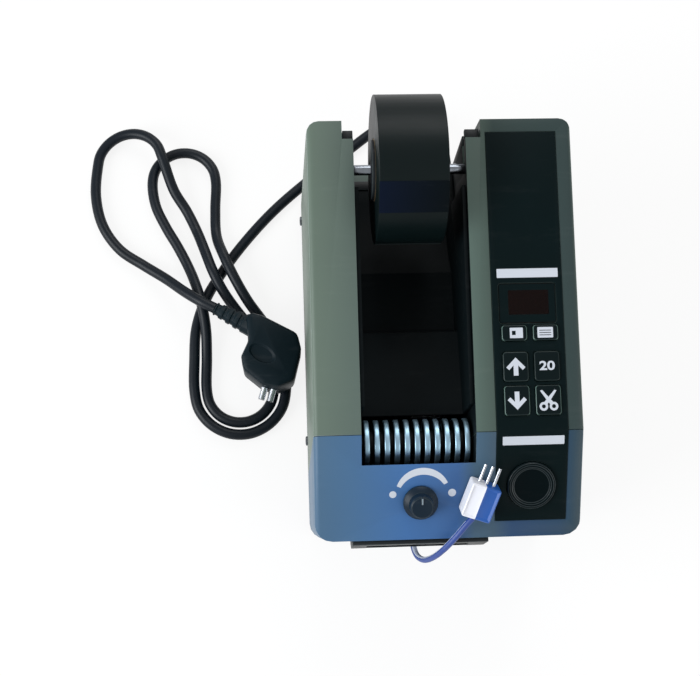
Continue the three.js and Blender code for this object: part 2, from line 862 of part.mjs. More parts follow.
function switchFrame() {
  const face = wallRearY(switchZ - rockerHigh / 2 - gap - 2 * switchWall);
  const body = alongY(switchOutline(switchWall - gap), face - switchDeep, face + gap);
  const flange = alongY(switchOutline(2 * switchWall), face + seat, face + switchProud);
  const pocket = alongY(switchOutline(0), face - switchDeep + switchWall, bodyLength);
  return cut(join(body, flange), pocket);
}

function powerRocker() {
  const rockerShares = [[-1, -0.5], [0.9, -0.97], [1.5, -0.93], [1.1, 0], [1.9, 0.86], [0.9, 0.97], [-1, 0.5]];
  const section = rockerShares.map(([out, up]) => [out * rockerDeep, (up * rockerHigh) / 2]);
  const rocker = alongX(section, switchX - rockerWide / 2 + gap, switchX + rockerWide / 2 - gap);
  return at(rocker, wallRearY(switchZ) - rockerSink, switchZ);
}

// Base plate with slots for air, and its feet
function basePlate() {
  const slots = Array.from({ length: ventCount }, (_, i) => {
    const y = (i - ventCount / 2) * ventPitch;
    return block(-ventLong / 2, ventLong / 2, y, y + ventPitch / 2, 0, bodyHeight);
  });
  return cut(common(bodyForm(0), block(-sideX, sideX, -everywhere, everywhere, baseLift, baseTop)), ...slots);
}

function foot() {
  const radius = footDiameter / 2;
  return turnedUp([[0, 0], [radius - footEdge, 0], [radius, footEdge], [radius, baseLift], [0, baseLift]]);
}

const footPlaces = [-1, 1].flatMap((side) => [
  { x: side * (sideX - footInset), y: bodyLength / 2 - footRear },
  { x: side * (sideX - footInset), y: -bodyLength / 2 + footFront },
]);

// Steel plates beside the channel, which carry the shafts, and the bracket that carries the motors
function bearingPlate(x0, x1, ...holes) {
  const outline = [
    [plateRear, baseTop],
    [plateRear, roller.z - plateShoulder],
    [roller.y + plateHead, roller.z + plateHead],
    [roller.y - plateHead / 4, roller.z + plateHead],
    [plateFront, pathHeight + plateNose],
    [plateFront, pathHeight - plateChin],
    [plateFront + plateStep, pathHeight - plateThroat],
    [plateFront + plateStep, baseTop],
  ];
  const opening = alongX(circle(0, 0, plateHole / 2, 20), x0 - overrun, x1 + overrun);
  return cut(
    alongX(outline, x0, x1),
    shaftHole(roller, feedShaftDiameter, x0, x1),
    shaftHole(pivot, carrierPinDiameter, x0, x1),
    shaftHole(pinch, pinchPinDiameter, x0, x1),
    at(opening, (plateRear + plateFront + plateStep) / 2, baseTop + plateHole / 2 + plateHoleLift),
    ...holes,
  );
}

function rightBearingPlate() {
  const x1 = plateRight + plateThick;
  return bearingPlate(plateRight, x1, shaftHole(idler, axleDiameter, plateRight, x1));
}

function motorBracket() {
  const radius = cutterMotorDiameter / 2;
  const outline = [
    [plateRear, baseTop],
    [plateRear, pinion.z + feedMotorDiameter / 2],
    [idler.y + bracketHead, idler.z + bracketHead],
    [idler.y - bracketHead, idler.z + bracketHead],
    [cutterPinion.y + radius, cutterPinion.z + radius],
    [cutterPinion.y - radius, cutterPinion.z + radius],
    [cutterPinion.y - radius, baseTop],
  ];
  return cut(
    alongX(outline, bracketX, motorX),
    shaftHole(idler, axleDiameter, bracketX, motorX),
    shaftHole(pinion, 2 * motorShaftDiameter, bracketX, motorX),
    shaftHole(cutterPinion, 2 * motorShaftDiameter, bracketX, motorX),
  );
}

function motor(place, diameter) {
  const radius = diameter / 2;
  const end = motorX + motorLength;
  const profile = [
    [0, motorX],
    [radius - motorEdge, motorX],
    [radius, motorX + motorEdge],
    [radius, end - 3 * motorEdge],
    [radius - 2 * motorEdge, end - motorEdge],
    [radius / 2, end - motorEdge],
    [radius / 2, end],
    [0, end],
  ];
  return at(turned(profile, 28), place.y, place.z);
}

// Gears, each turned so that its teeth stand in the gaps of the one before
const toothStep = (teeth) => (2 * Math.PI) / teeth;
const lineAngle = (from, to) => Math.atan2(to.z - from.z, to.y - from.y);

function meshPhase(line, teethFrom, phaseFrom, teethTo) {
  const along = (line - phaseFrom) / toothStep(teethFrom);
  return line + Math.PI + (along - Math.floor(along) + 1 / 2) * toothStep(teethTo);
}

const feedPhase = 0;
const idlerPhase = meshPhase(lineAngle(roller, idler), feedTeeth, feedPhase, idlerTeeth);
const pinionPhase = meshPhase(lineAngle(idler, pinion), idlerTeeth, idlerPhase, pinionTeeth);
const sectorPhase = 0;
const cutterPhase = meshPhase(lineAngle(pivot, cutterPinion), sectorTeeth, sectorPhase, cutterPinionTeeth);

function feedGear() {
  const bore = circle(0, 0, feedShaftDiameter / 2 + gap / 2, 16);
  return at(alongX(gearOutline(feedTeeth, feedPhase), gearX, gearX + gearThick, [bore]), roller.y, roller.z);
}

function gearOnAxle(teeth, phase, place, diameter, axleStart) {
  const wheel = alongX(gearOutline(teeth, phase), gearX, gearX + gearThick);
  return at(join(wheel, rodX(diameter / 2, axleStart, motorX - gap, 16)), place.y, place.z);
}

// The feed roller's sleeve with its rings, on its shaft, and the roller that presses the tape on it
function feedRoller() {
  const bore = feedShaftDiameter / 2 + gap / 2;
  const barrel = sleeveDiameter / 2;
  const rim = ringDiameter / 2;
  const edge = ringThick / 8;
  const rings = Array.from({ length: ringCount }, (_, i) => {
    const x = rollerLeft + i * ringStep;
    return [
      [barrel, x],
      [rim - edge, x],
      [rim, x + edge],
      [rim, x + ringThick - edge],
      [rim - edge, x + ringThick],
      [barrel, x + ringThick],
    ];
  }).flat();
  const start = rollerLeft - sleeveEnd;
  const end = rollerRight + sleeveEnd;
  const profile = [[bore, start], [barrel, start], ...rings, [barrel, end], [bore, end], [bore, start]];
  return at(turned(profile, 18), roller.y, roller.z);
}

function feedShaft() {
  const start = plateLeft - plateThick - shaftEnd;
  return at(rodX(feedShaftDiameter / 2, start, gearX + gearThick + shaftTip, 20), roller.y, roller.z);
}

function pinchRoller() {
  const radius = pinchDiameter / 2;
  const pin = pinchPinDiameter / 2;
  const profile = [
    [0, plateLeft - plateThick],
    [pin, plateLeft - plateThick],
    [pin, rollerLeft],
    [radius, rollerLeft],
    [radius, rollerRight],
    [pin, rollerRight],
    [pin, plateRight + plateThick],
    [0, plateRight + plateThick],
  ];
  return at(turned(profile, 16), pinch.y, pinch.z);
}

// The chute under the roller, with tabs in the plates and fingers that stand between the rings
function tapeChute() {
  const rim = ringDiameter / 2;
  const top = roller.z - rim - chuteGap;
  const path = [
    [roller.y + chuteRear, top],
    [pivot.y + chuteKnee, top - chuteFall],
    [pivot.y - chuteLip, pivot.z + chuteLipRise],
  ];
  const floor = alongX(ribbon(path, chuteThick), channelLeft + gap, channelRight - gap);
  const tabs = block(
    plateLeft + seat,
    plateRight - seat,
    roller.y - chuteTabFront,
    roller.y + chuteTabRear,
    top - chuteThick,
    top - gap,
  );
  const fingerShares = [[-0.82, -1.18], [0.27, -1.18], [0.18, -0.62], [-0.22, -0.55], [-0.76, -0.46]];
  const finger = fingerShares.map(([along, up]) => [along * rim, up * rim]);
  const fingers = Array.from({ length: ringCount - 1 }, (_, i) => {
    const x0 = rollerLeft + i * ringStep + ringThick + fingerGap;
    const x1 = rollerLeft + (i + 1) * ringStep - fingerGap;
    return at(alongX(finger, x0, x1), roller.y, roller.z);
  });
  return join(floor, tabs, ...fingers);
}

// The cutter: a carrier on two arms, with a toothed sector, that swings its blade up past the fixed one
const armLeft = plateLeft + armGap;
const armRight = plateRight - armGap;
const turnedDown = new THREE.Matrix4().makeRotationX(bladeRest);
const aboutPivot = (geometry) => at(geometry.applyMatrix4(turnedDown), pivot.y, pivot.z);

function bladeCarrier() {
  const reach = gearModule * sectorTeeth;
  const armShares = [[0.6, -0.8], [1, 0], [0.6, 0.8], [-1, 0.6]];
  const arm = [
    ...armShares.map(([along, up]) => [along * carrierHub, up * carrierHub]),
    [armTip - bladeRadius, armEndHigh],
    [armTip - bladeRadius, -barDrop],
    [-carrierHub, -armShares[2][1] * carrierHub],
  ];
  const barEnd = bladeSeatShare * bladeHigh - bladeRadius;
  const bar = rectangle(barStart - bladeRadius, barEnd, -barDrop, -bladeThick / 2 - seat);
  const pinAt = (x0, x1) => rodX(carrierPinDiameter / 2, x0, x1, 16);
  const sectorEnd = gearX + gearThick - gearEnd;
  const fanSteps = 4;
  const fanRim = Array.from({ length: fanSteps + 1 }, (_, i) => {
    const angle = sectorStart - bladeRest + (sectorSpan * i) / fanSteps;
    return [reach * Math.cos(angle), reach * Math.sin(angle)];
  });
  const fan = [[0, sectorBoss / 2], ...fanRim];
  const teeth = gearOutline(sectorTeeth, sectorPhase - bladeRest);
  const sector = common(alongX(teeth, gearX, sectorEnd), alongX(fan, gearX - gap, sectorEnd + gap));
  return aboutPivot(join(
    alongX(arm, armLeft, armLeft + armThick),
    alongX(arm, armRight - armThick, armRight),
    alongX(bar, armLeft + armThick / 2, armRight - armThick / 2),
    pinAt(plateLeft - plateThick - carrierPinEnd, armLeft + armThick / 2),
    pinAt(armRight - armThick / 2, sectorEnd),
    sector,
    rodX(sectorBoss, gearX, sectorEnd, 20),
  ));
}

function movingBlade() {
  const edge = -bladeRadius;
  const back = edge + bladeSeatShare * bladeHigh;
  const half = bladeThick / 2;
  const section = [
    [edge, half - bladeThick / 16],
    [edge + bladeBevel / 2, half],
    [back, half],
    [back, -half],
    [edge + bladeBevel, -half],
  ];
  return aboutPivot(alongX(section, armLeft + armThick + gap, armRight - armThick - gap));
}

function fixedBlade() {
  const low = pathHeight + bladeRise;
  const section = [
    [bladeFrontY + bladeThick, low],
    [bladeFrontY + bladeThick, low + bladeHigh],
    [bladeFrontY, low + bladeHigh],
    [bladeFrontY, low + fixedBevel],
  ];
  return alongX(section, plateLeft + seat, plateRight - seat);
}

// The roll of tape on its core, hubs and rod
const rollWidth = channelWidth - rollPlay;
const rollLeft = channelMid - rollAside - rollWidth / 2;
const rollRight = rollLeft + rollWidth;
const atRod = (geometry) => at(geometry, rod.y, rod.z);
const rollRod = () => atRod(rodX(rodDiameter / 2, channelLeft - rodEnd, channelRight + rodEnd, 20));
const tapeCore = () =>
  atRod(tubeX(coreDiameter / 2, coreDiameter / 2 - coreWall, rollLeft + seat, rollRight - seat, 36));

function hub(side) {
  const end = side < 0 ? rollLeft : rollRight;
  const x = (inwards) => end - side * inwards;
  const length = hubLengthShare * rollWidth;
  const bore = rodDiameter / 2 + slip;
  const rim = coreDiameter / 2 - hubRim;
  const barrel = coreDiameter / 2 - coreWall - gap / 2;
  const loop = [
    [bore, x(-hubFlange)],
    [rim, x(-hubFlange)],
    [rim, x(0)],
    [barrel, x(0)],
    [barrel, x(length)],
    [barrel - hubWall, x(length)],
    [barrel - hubWall, x(hubWeb)],
    [bore + hubBoss, x(hubWeb)],
    [bore + hubBoss, x(length)],
    [bore, x(length)],
    [bore, x(-hubFlange)],
  ];
  return atRod(turned(side < 0 ? loop : loop.reverse(), 24));
}

function tapeRoll() {
  const tail = THREE.MathUtils.degToRad(200);
  const sides = 64;
  const outline = Array.from({ length: sides }, (_, i) => {
    const share = i / (sides - 1);
    const angle = tail + 2 * Math.PI * share;
    const reach = rollDiameter / 2 - tapeThick * share;
    return [reach * Math.cos(angle), reach * Math.sin(angle)];
  });
  return atRod(alongX(outline, rollLeft, rollRight, [circle(0, 0, coreDiameter / 2 + gap / 2, 36)]));
}

// The panel's skin and what sits in it
function controlPanel() {
  const sheet = alongX(skinOutline(panelStart, panelEnd, -panelProud, panelSink), panelLeft, panelRight);
  return cut(sheet, displayHole(0), buttonHole(), ...keys.map(keyHole));
}

const displayWindow = () =>
  alongZ(displayOutline(-slip), -panelSink, -panelSink + displayThick).applyMatrix4(upperFrame);

function panelKey(key) {
  const top = panelProud + keyProud;
  const stem = alongZ(keyOutline(key, 0), -wall - gap - keyFlange / 2, top, [], keyRound, 1);
  const flange = alongZ(keyOutline(key, keyFlangeReach + slip, keyCorner), -keyBottom + keyTravel, -wall - gap);
  return join(stem, flange).applyMatrix4(upperFrame);
}

function startButton() {
  const radius = buttonDiameter / 2;
  const top = panelProud + buttonProud;
  const flangeTop = -wall - gap;
  const flange = radius + slip + keyFlangeReach;
  const rimShares = [[0, 1], [0.125, 0.33], [0.41, 0], [0.75, 0.22], [1, 0.78]];
  const profile = [
    [0, flangeTop - keyFlange],
    [flange, flangeTop - keyFlange],
    [flange, flangeTop],
    [radius, flangeTop],
    ...rimShares.map(([inwards, down]) => [radius - inwards * buttonRim, top - down * buttonDish]),
    [0, top - buttonDish],
  ];
  return turnedUp(profile, 28).translate(panelMid, -buttonRun, 0).applyMatrix4(lowerFrame);
}

const atKnob = (geometry) => geometry.translate(knobX, -knobRun, 0).applyMatrix4(lowerFrame);

function speedKnob() {
  const skirt = knobDiameter / 2;
  const cap = knobCap / 2;
  const stem = (potShaft - slip) / 2;
  const shoulder = gap + knobSkirt;
  const profile = [
    [0, gap - wall],
    [stem, gap - wall],
    [stem, gap],
    [skirt, gap],
    [skirt, gap + knobSkirt / 2],
    [cap + knobEdge, shoulder],
    [cap, shoulder + knobEdge / 2],
    [cap - 0.4 * knobEdge, knobHeight - 0.6 * knobEdge],
    [cap - knobEdge, knobHeight],
    [0, knobHeight],
  ];
  const tip = cap - knobEdge / 4;
  const top = knobHeight + pointerProud;
  const low = knobHeight - knobEdge / 2;
  const pointer = block(-pointerWide / 2, pointerWide / 2, tip - pointerLong, tip, low, top);
  return atKnob(join(turnedUp(profile, 24), pointer));
}

function potentiometer() {
  const radius = potDiameter / 2;
  const low = -wall - potDepth;
  const top = -wall - seat;
  return atKnob(turnedUp([[0, low], [radius - potEdge, low], [radius, low + potEdge], [radius, top], [0, top]]));
}

// Boards: a key board under the upper face, a switch board under the round button, and the main board
function studsTo(top, places) {
  const radius = studDiameter / 2;
  const low = boardTop - boardThick / 2;
  return places.map(([x, run]) =>
    turnedUp([[0, low], [radius, low], [radius, top], [0, top]], 10).translate(x, -run, 0));
}

function panelBoard() {
  const x0 = panelLeft + boardInset;
  const x1 = panelRight - boardInset;
  const run0 = displayRun - displayHigh / 2 - boardPast;
  const run1 = keyRun(0) + largeKeyHigh / 2 + boardPast;
  const half = tactWide / 2;
  const low = boardTop - boardThick / 2;
  const switches = keys.map((key) =>
    block(key.x - half, key.x + half, -key.run - half, -key.run + half, low, -keyBottom - gap));
  const edge = studDiameter / 2 + gap / 2;
  const studs = studsTo(-wall - seat, [[x0 + edge, run0 + edge], [x1 - edge, run0 + edge]]);
  const plate = block(x0, x1, -run1, -run0, boardTop - boardThick, boardTop);
  return join(plate, ...switches, ...studs).applyMatrix4(upperFrame);
}

function displayModule() {
  const half = displayWide / 2 - moduleInset;
  const high = displayHigh / 2 - displayLedge;
  return block(
    panelMid - half,
    panelMid + half,
    -displayRun - high,
    -displayRun + high,
    boardTop + seat,
    -wall - gap,
  ).applyMatrix4(upperFrame);
}

function buttonSwitch() {
  const half = switchBoardWide / 2;
  const high = switchBoardLong / 2;
  const edge = studDiameter / 2 + gap / 2;
  const corners = [-1, 1].flatMap((side) =>
    [-1, 1].map((end) => [panelMid + side * (half - edge), buttonRun + end * (high - edge)]));
  const plate = block(
    panelMid - half,
    panelMid + half,
    -buttonRun - high,
    -buttonRun + high,
    boardTop - boardThick,
    boardTop,
  );
  const reach = plungerWide / 2;
  const plunger = block(
    panelMid - reach,
    panelMid + reach,
    -buttonRun - reach,
    -buttonRun + reach,
    boardTop - boardThick / 2,
    -wall - keyFlange - buttonTravel - 2 * gap,
  );
  return join(plate, plunger, ...studsTo(-wall - seat, corners)).applyMatrix4(lowerFrame);
}

// What stands on the main board: each place and size is a share of the board's width and length
function mainBoard() {
  const x0 = channelRight + wall + boardRoom;
  const y0 = plateRear + boardRoom;
  const wide = sideX - wall - boardSideRoom - x0;
  const long = rearTopY - boardRearRoom - y0;
  const low = baseTop + boardLift;
  const x = (share) => x0 + share * wide;
  const y = (share) => y0 + share * long;
  const inset = pillarWide / 2;
  const pillars = [inset * 2, wide - inset * 2].flatMap((u) => [inset * 2, long - inset * 2].map((v) =>
    block(x0 + u - inset, x0 + u + inset, y0 + v - inset, y0 + v + inset, baseTop + seat, low + boardThick / 2)));
  const radius = capacitorDiameter / 2;
  const canTop = low + capacitorHigh;
  const canShares = [[0.29, 0.175], [0.29, 0.311]];
  const cans = canShares.map(([u, v]) =>
    turnedUp([[0, low], [radius, low], [radius, canTop], [0, canTop]], 16).translate(x(u), y(v), 0));
  return join(
    block(x0, x0 + wide, y0, y0 + long, low, low + boardThick),
    ...pillars,
    ...cans,
    block(x(0.53), x(0.82), y(0.195), y(0.29), low, low + chipHigh),
    block(x(0.48), x(0.915), y(0.708), y(0.844), low, low + relayHigh),
  );
}

// The supply's blocks: inset from each side, start, end and height, as shares of its width, length and height
function powerSupply() {
  const x0 = channelLeft + supplyInset;
  const x1 = channelRight - supplyInset;
  const y0 = postFront - supplyBehind - supplyLong;
  const low = baseTop + seat;
  const blockShares = [
    [0, 0, 1, 0.14],
    [0.137, 0.15, 0.61, 1],
    [0.23, 0.075, 0.68, 0.75],
    [0.115, 0.79, 0.925, 0.5],
  ];
  const blocks = blockShares.map(([inset, start, end, high]) =>
    block(
      x0 + inset * (x1 - x0),
      x1 - inset * (x1 - x0),
      y0 + start * supplyLong,
      y0 + end * supplyLong,
      low,
      low + high * supplyHigh,
    ));
  return join(...blocks);
}

// The cord's gland: a neck through the wall, a flange and a tapered relief
function cordGland() {
  const neck = glandNeck / 2;
  const flange = glandFlange / 2;
  const face = wallRearY(glandZ - flange) + seat;
  const profile = [
    [0, -3 * wall],
    [neck, -3 * wall],
    [neck, 0],
    [flange, 0],
    [flange, glandFlangeThick],
    [glandRoot / 2, glandFlangeThick + glandCollar],
    [glandTip / 2, glandLength],
    [0, glandLength],
  ];
  return turnedUp(profile, 20).rotateX(-Math.PI / 2).translate(glandX, face, glandZ);
}

// The mains cord, from the gland over the counter to its folded hank and plug, as points on its centre line
const cordRoute = [
  [20, 126.2, 12], [20, 132, 12], [17.5, 142, 11], [9.5, 150, 8.5], [-3, 152.5, 5.5],
  [-18, 146, 3.8], [-38, 131, 3.3], [-61, 113, 3.3], [-80, 96, 3.3], [-97, 77, 3.3],
  [-109.5, 60, 3.3], [-119, 44, 3.3], [-124.5, 27, 3.3], [-125.7, 8, 3.3], [-125.7, -9, 3.3],
  [-123.2, -20.1, 3.3], [-116.1, -28.9, 3.3], [-105.9, -33.9, 3.3], [-94.5, -33.9, 3.3], [-84.3, -28.9, 3.3],
  [-77.2, -20.1, 3.3], [-74.7, -9, 3.3], [-75.3, 4, 3.3], [-79, 17, 3.3], [-86.5, 29.5, 3.9],
  [-95, 41, 7.8], [-102.3, 54, 10.4], [-108.2, 67.5, 9.9], [-112.6, 81.5, 4.4], [-113.2, 98, 3.3],
  [-112.7, 115, 3.3], [-114.5, 122.9, 3.3], [-119.6, 129.3, 3.3], [-126.9, 132.8, 3.3], [-135.1, 132.8, 3.3],
  [-142.4, 129.3, 3.3], [-147.5, 122.9, 3.3], [-149.3, 115, 3.3], [-147.5, 101, 3.3], [-141.5, 87.5, 3.3],
  [-134.5, 75, 3.3], [-128.3, 62, 4.2], [-124, 50, 8], [-120.8, 38, 10.4], [-118.9, 25, 7.5],
  [-118.7, 10, 3.8], [-118.9, -9, 3.3], [-117, -17.1, 3.3], [-111.9, -23.6, 3.3], [-104.4, -27.2, 3.3],
  [-96, -27.2, 3.3], [-88.5, -23.6, 3.3], [-83.4, -17.1, 3.3], [-81.5, -9, 3.3], [-82, 4, 3.3],
  [-85.8, 14.5, 3.3], [-92.5, 25, 3.6], [-101.2, 36, 5.2], [-109, 47, 9], [-114.6, 58.5, 10.4],
  [-119, 71, 8], [-123.6, 84, 4], [-129.5, 97, 3.4], [-136.8, 109, 6.4], [-143.3, 128.3, 10.3],
  [-146.3, 135.7, 10.5], [-152.1, 141.2, 9.4], [-159.6, 143.9, 7.6], [-167.6, 143.2, 5.8], [-174.6, 139.2, 4.4],
  [-179.3, 132.8, 3.6], [-181, 125, 3.3], [-181.8, 107, 3.3], [-177.6, 89, 3.3], [-167.8, 74.5, 3.3],
  [-154, 64.5, 4], [-141.2, 55.2, 7.7], [-130.2, 45.6, 13.6], [-121.2, 38.8, 17.6], [-113.1, 34.3, 18.3],
];
const leadRoute = [
  [10.4, -96.1, 109.8], [7.6, -98.9, 108.2], [2.6, -104.4, 103.8], [-2.4, -109.2, 97.5], [-6.6, -112, 89],
  [-10.2, -112.4, 80.5], [-12.8, -109.6, 73.6], [-14, -105, 71], [-14, -99.5, 71],
];

// A round tube along a route; it prints its length and the least gap between its own turns
function tubeAlong(route, diameter, sides, step) {
  const curve = new THREE.CatmullRomCurve3(route.map((spot) => new THREE.Vector3(...spot)), false, "centripetal");
  curve.arcLengthDivisions = 2000;
  const length = curve.getLength();
  const steps = Math.round(length / step);
  const fine = 8;
  const spots = curve.getSpacedPoints(steps * fine);
  const apart = Math.ceil((fine * 2.5 * diameter) / step);
  let least = Infinity;
  for (let i = 0; i < spots.length; i++) {
    for (let k = i + apart; k < spots.length; k++) {
      least = Math.min(least, spots[i].distanceTo(spots[k]) - diameter);
    }
  }
  console.log(`cord of ${diameter} mm: ${length.toFixed(0)} mm long, least gap ${least.toFixed(2)} mm`);
  return new THREE.ExtrudeGeometry(shapeOf(circle(0, 0, diameter / 2, sides)), {
    steps,
    extrudePath: curve,
    bevelEnabled: false,
  });
}

// The mains plug: a broad moulded body with an oval grip, a ribbed relief and two round pins
const plugOutline = [
  [-96, 30, 3], [-87, 27.5, 4], [-68, 17, 5], [-66, 8, 4], [-70.5, -9.5, 4],
  [-79, -13.5, 3], [-87.5, -11.5, 3], [-97.5, -3, 4], [-99, 4.5, 3], [-95, 13, 4],
];
const plugAxis = { x: -96.2, y: 24.9, turn: THREE.MathUtils.degToRad(61) };
const gripAxis = { x: -87.5, y: 5.5, turn: THREE.MathUtils.degToRad(-32) };
const pinAxis = { x: -84, y: -11.5, turn: THREE.MathUtils.degToRad(-17) };

function mainPlug() {
  const top = plugMid + plugThick / 2;
  const body = alongZ(roundOutline(plugOutline, 2), plugMid - plugThick / 2, top, [], plugRound, 2);
  const grip = turnedUp([[0, -gripDeep], [gripWide / 2 - gripDeep, -gripDeep], [gripWide / 2, gap], [0, gap]])
    .scale(gripLong / gripWide, 1, 1)
    .rotateZ(gripAxis.turn)
    .translate(gripAxis.x, gripAxis.y, top);
  const radiusAt = (share) => (reliefRoot + (reliefTip - reliefRoot) * share) / 2;
  const ribShares = [[0.3, 0], [0.42, 1], [0.75, 1], [0.87, 0]];
  const ribs = Array.from({ length: reliefRibs }, (_, i) =>
    ribShares.map(([place, down]) => {
      const share = (i + place) / reliefRibs;
      return [radiusAt(share) - down * reliefRibDeep, share * reliefLength];
    })).flat();
  const relief = turnedUp([
    [0, -reliefSink],
    [reliefRoot / 2, -reliefSink],
    ...ribs,
    [reliefTip / 2, reliefLength],
    [0, reliefLength],
  ], 10)
    .rotateX(-Math.PI / 2)
    .rotateZ(plugAxis.turn)
    .translate(plugAxis.x, plugAxis.y, plugMid);
  const pins = [-1, 1].map((side) =>
    alongY(circle(side * pinSpread / 2, 0, pinDiameter / 2, 12), -pinLong, pinDiameter)
      .rotateZ(pinAxis.turn)
      .translate(pinAxis.x, pinAxis.y, plugMid));
  return cut(join(body, relief, ...pins), grip);
}

// A small plug lying on the front cover, with its three pins
function sensorPlug() {
  const half = leadPlugWide / 2;
  const end = leadPlugLong / 2;
  const outline = rectangle(-half, half, -end, end, leadPlugRound);
  const body = alongZ(outline, leadPlugLift, leadPlugLift + leadPlugHigh, [], leadPlugRound / 2, 1);
  const middle = leadPlugLift + leadPlugHigh / 2;
  const pins = [-1, 0, 1].map((i) =>
    alongY(circle(i * leadPinPitch, middle, leadPinDiameter / 2, 10), end - leadPlugRound, end + leadPinLong));
  return join(body, ...pins)
    .rotateZ(leadPlugTurn)
    .translate(channelRight + leadPlugAside, -leadPlugRun, 0)
    .applyMatrix4(lowerFrame);
}

// Nodes and groups
function node(name, geometry, color, roughness, metalness = 0) {
  const item = new THREE.Mesh(geometry, new THREE.MeshStandardMaterial({ color, roughness, metalness }));
  item.name = name;
  return item;
}

function group(name, ...items) {
  const bundle = new THREE.Group();
  bundle.name = name;
  bundle.add(...items);
  return bundle;
}

const grey = 0x64726c;
const black = 0x15181a;
const dark = 0x22272b;
const steel = 0xaab0b4;
const white = 0xe4e6e8;
const green = 0x2f5d3a;
const red = 0x3a1416;
const card = 0xb9a27a;

export default group(
  "electric_tape_dispenser",
  group(
    "housing",
    node("base_plate", basePlate(), steel, 0.4, 0.9),
    ...footPlaces.map(({ x, y }, i) => node(`foot_${i + 1}`, foot().translate(x, y, 0), black, 0.8)),
    node("left_housing", housing(-1), grey, 0.5),
    node("right_housing", rightHousing(), grey, 0.5),
    node("front_cover", frontCover(), grey, 0.5),
    node("rear_cover", rearCover(), grey, 0.5),
    node("rear_frame", rearFrame(), black, 0.5),
    node("tape_tub", tapeTub(), black, 0.5),
    node("outlet_guard", outletGuard(), black, 0.5),
  ),
  group(
    "control_panel_group",
    node("control_panel", controlPanel(), dark, 0.4),
    node("display_window", displayWindow(), red, 0.1),
    node("display_module", displayModule(), black, 0.5),
    node("panel_board", panelBoard(), green, 0.5),
    node("button_switch", buttonSwitch(), green, 0.5),
    ...keys.map((key) => node(key.name, panelKey(key), dark, 0.4)),
    node("start_button", startButton(), black, 0.35),
    node("potentiometer", potentiometer(), steel, 0.4, 0.8),
    node("speed_knob", speedKnob(), black, 0.4),
  ),
  group(
    "roll",
    node("roll_rod", rollRod(), steel, 0.2, 1),
    node("hub_left", hub(-1), dark, 0.5),
    node("hub_right", hub(1), dark, 0.5),
    node("tape_core", tapeCore(), card, 0.8),
    node("tape_roll", tapeRoll(), dark, 0.35),
  ),
  group(
    "feed",
    node("left_bearing_plate", bearingPlate(plateLeft - plateThick, plateLeft), steel, 0.35, 0.9),
    node("right_bearing_plate", rightBearingPlate(), steel, 0.35, 0.9),
    node("motor_bracket", motorBracket(), steel, 0.35, 0.9),
    node("feed_motor", motor(pinion, feedMotorDiameter), steel, 0.4, 0.8),
    node("cutter_motor", motor(cutterPinion, cutterMotorDiameter), steel, 0.4, 0.8),
    node("feed_shaft", feedShaft(), steel, 0.2, 1),
    node("feed_roller", feedRoller(), steel, 0.4),
    node("feed_gear", feedGear(), white, 0.5),
    node("idler_gear", gearOnAxle(idlerTeeth, idlerPhase, idler, axleDiameter, plateRight), white, 0.5),
    node("motor_pinion", gearOnAxle(pinionTeeth, pinionPhase, pinion, motorShaftDiameter, gearX), white, 0.5),
    node("pinch_roller", pinchRoller(), dark, 0.7),
    node("tape_chute", tapeChute(), black, 0.5),
  ),
  group(
    "cutter",
    node("fixed_blade", fixedBlade(), steel, 0.2, 1),
    node("blade_carrier", bladeCarrier(), steel, 0.4, 0.8),
    node("moving_blade", movingBlade(), steel, 0.2, 1),
    node(
      "cutter_pinion",
      gearOnAxle(cutterPinionTeeth, cutterPhase, cutterPinion, motorShaftDiameter, gearX),
      white,
      0.5,
    ),
  ),
  group(
    "power",
    node("main_board", mainBoard(), green, 0.5),
    node("power_supply", powerSupply(), black, 0.5),
    node("cord_gland", cordGland(), black, 0.6),
    node("switch_frame", switchFrame(), black, 0.5),
    node("power_rocker", powerRocker(), black, 0.4),
  ),
  group(
    "cords",
    node("main_cord", tubeAlong(cordRoute, cordDiameter, cordSides, cordStep), black, 0.6),
    node("main_plug", mainPlug(), black, 0.6),
    node("sensor_lead", tubeAlong(leadRoute, leadDiameter, leadSides, leadStep), black, 0.6),
    node("sensor_plug", sensorPlug(), white, 0.5),
  ),
);
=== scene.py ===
# %% [markdown]
# An electric tape dispenser for a shop counter: two hollow blocks with a roll of tape between them,
# a ringed roller and a cutter at the front, and a sloping panel of keys on the right.
# The hard pieces come packed from the solid model. This lesson sets the camera and the cords first,
# because everything else is judged from that view, and then gives each piece its edges and its finish.

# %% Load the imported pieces
import json
import math
import bpy
import bmesh
from mathutils import Matrix, Vector
from mathutils.bvhtree import BVHTree

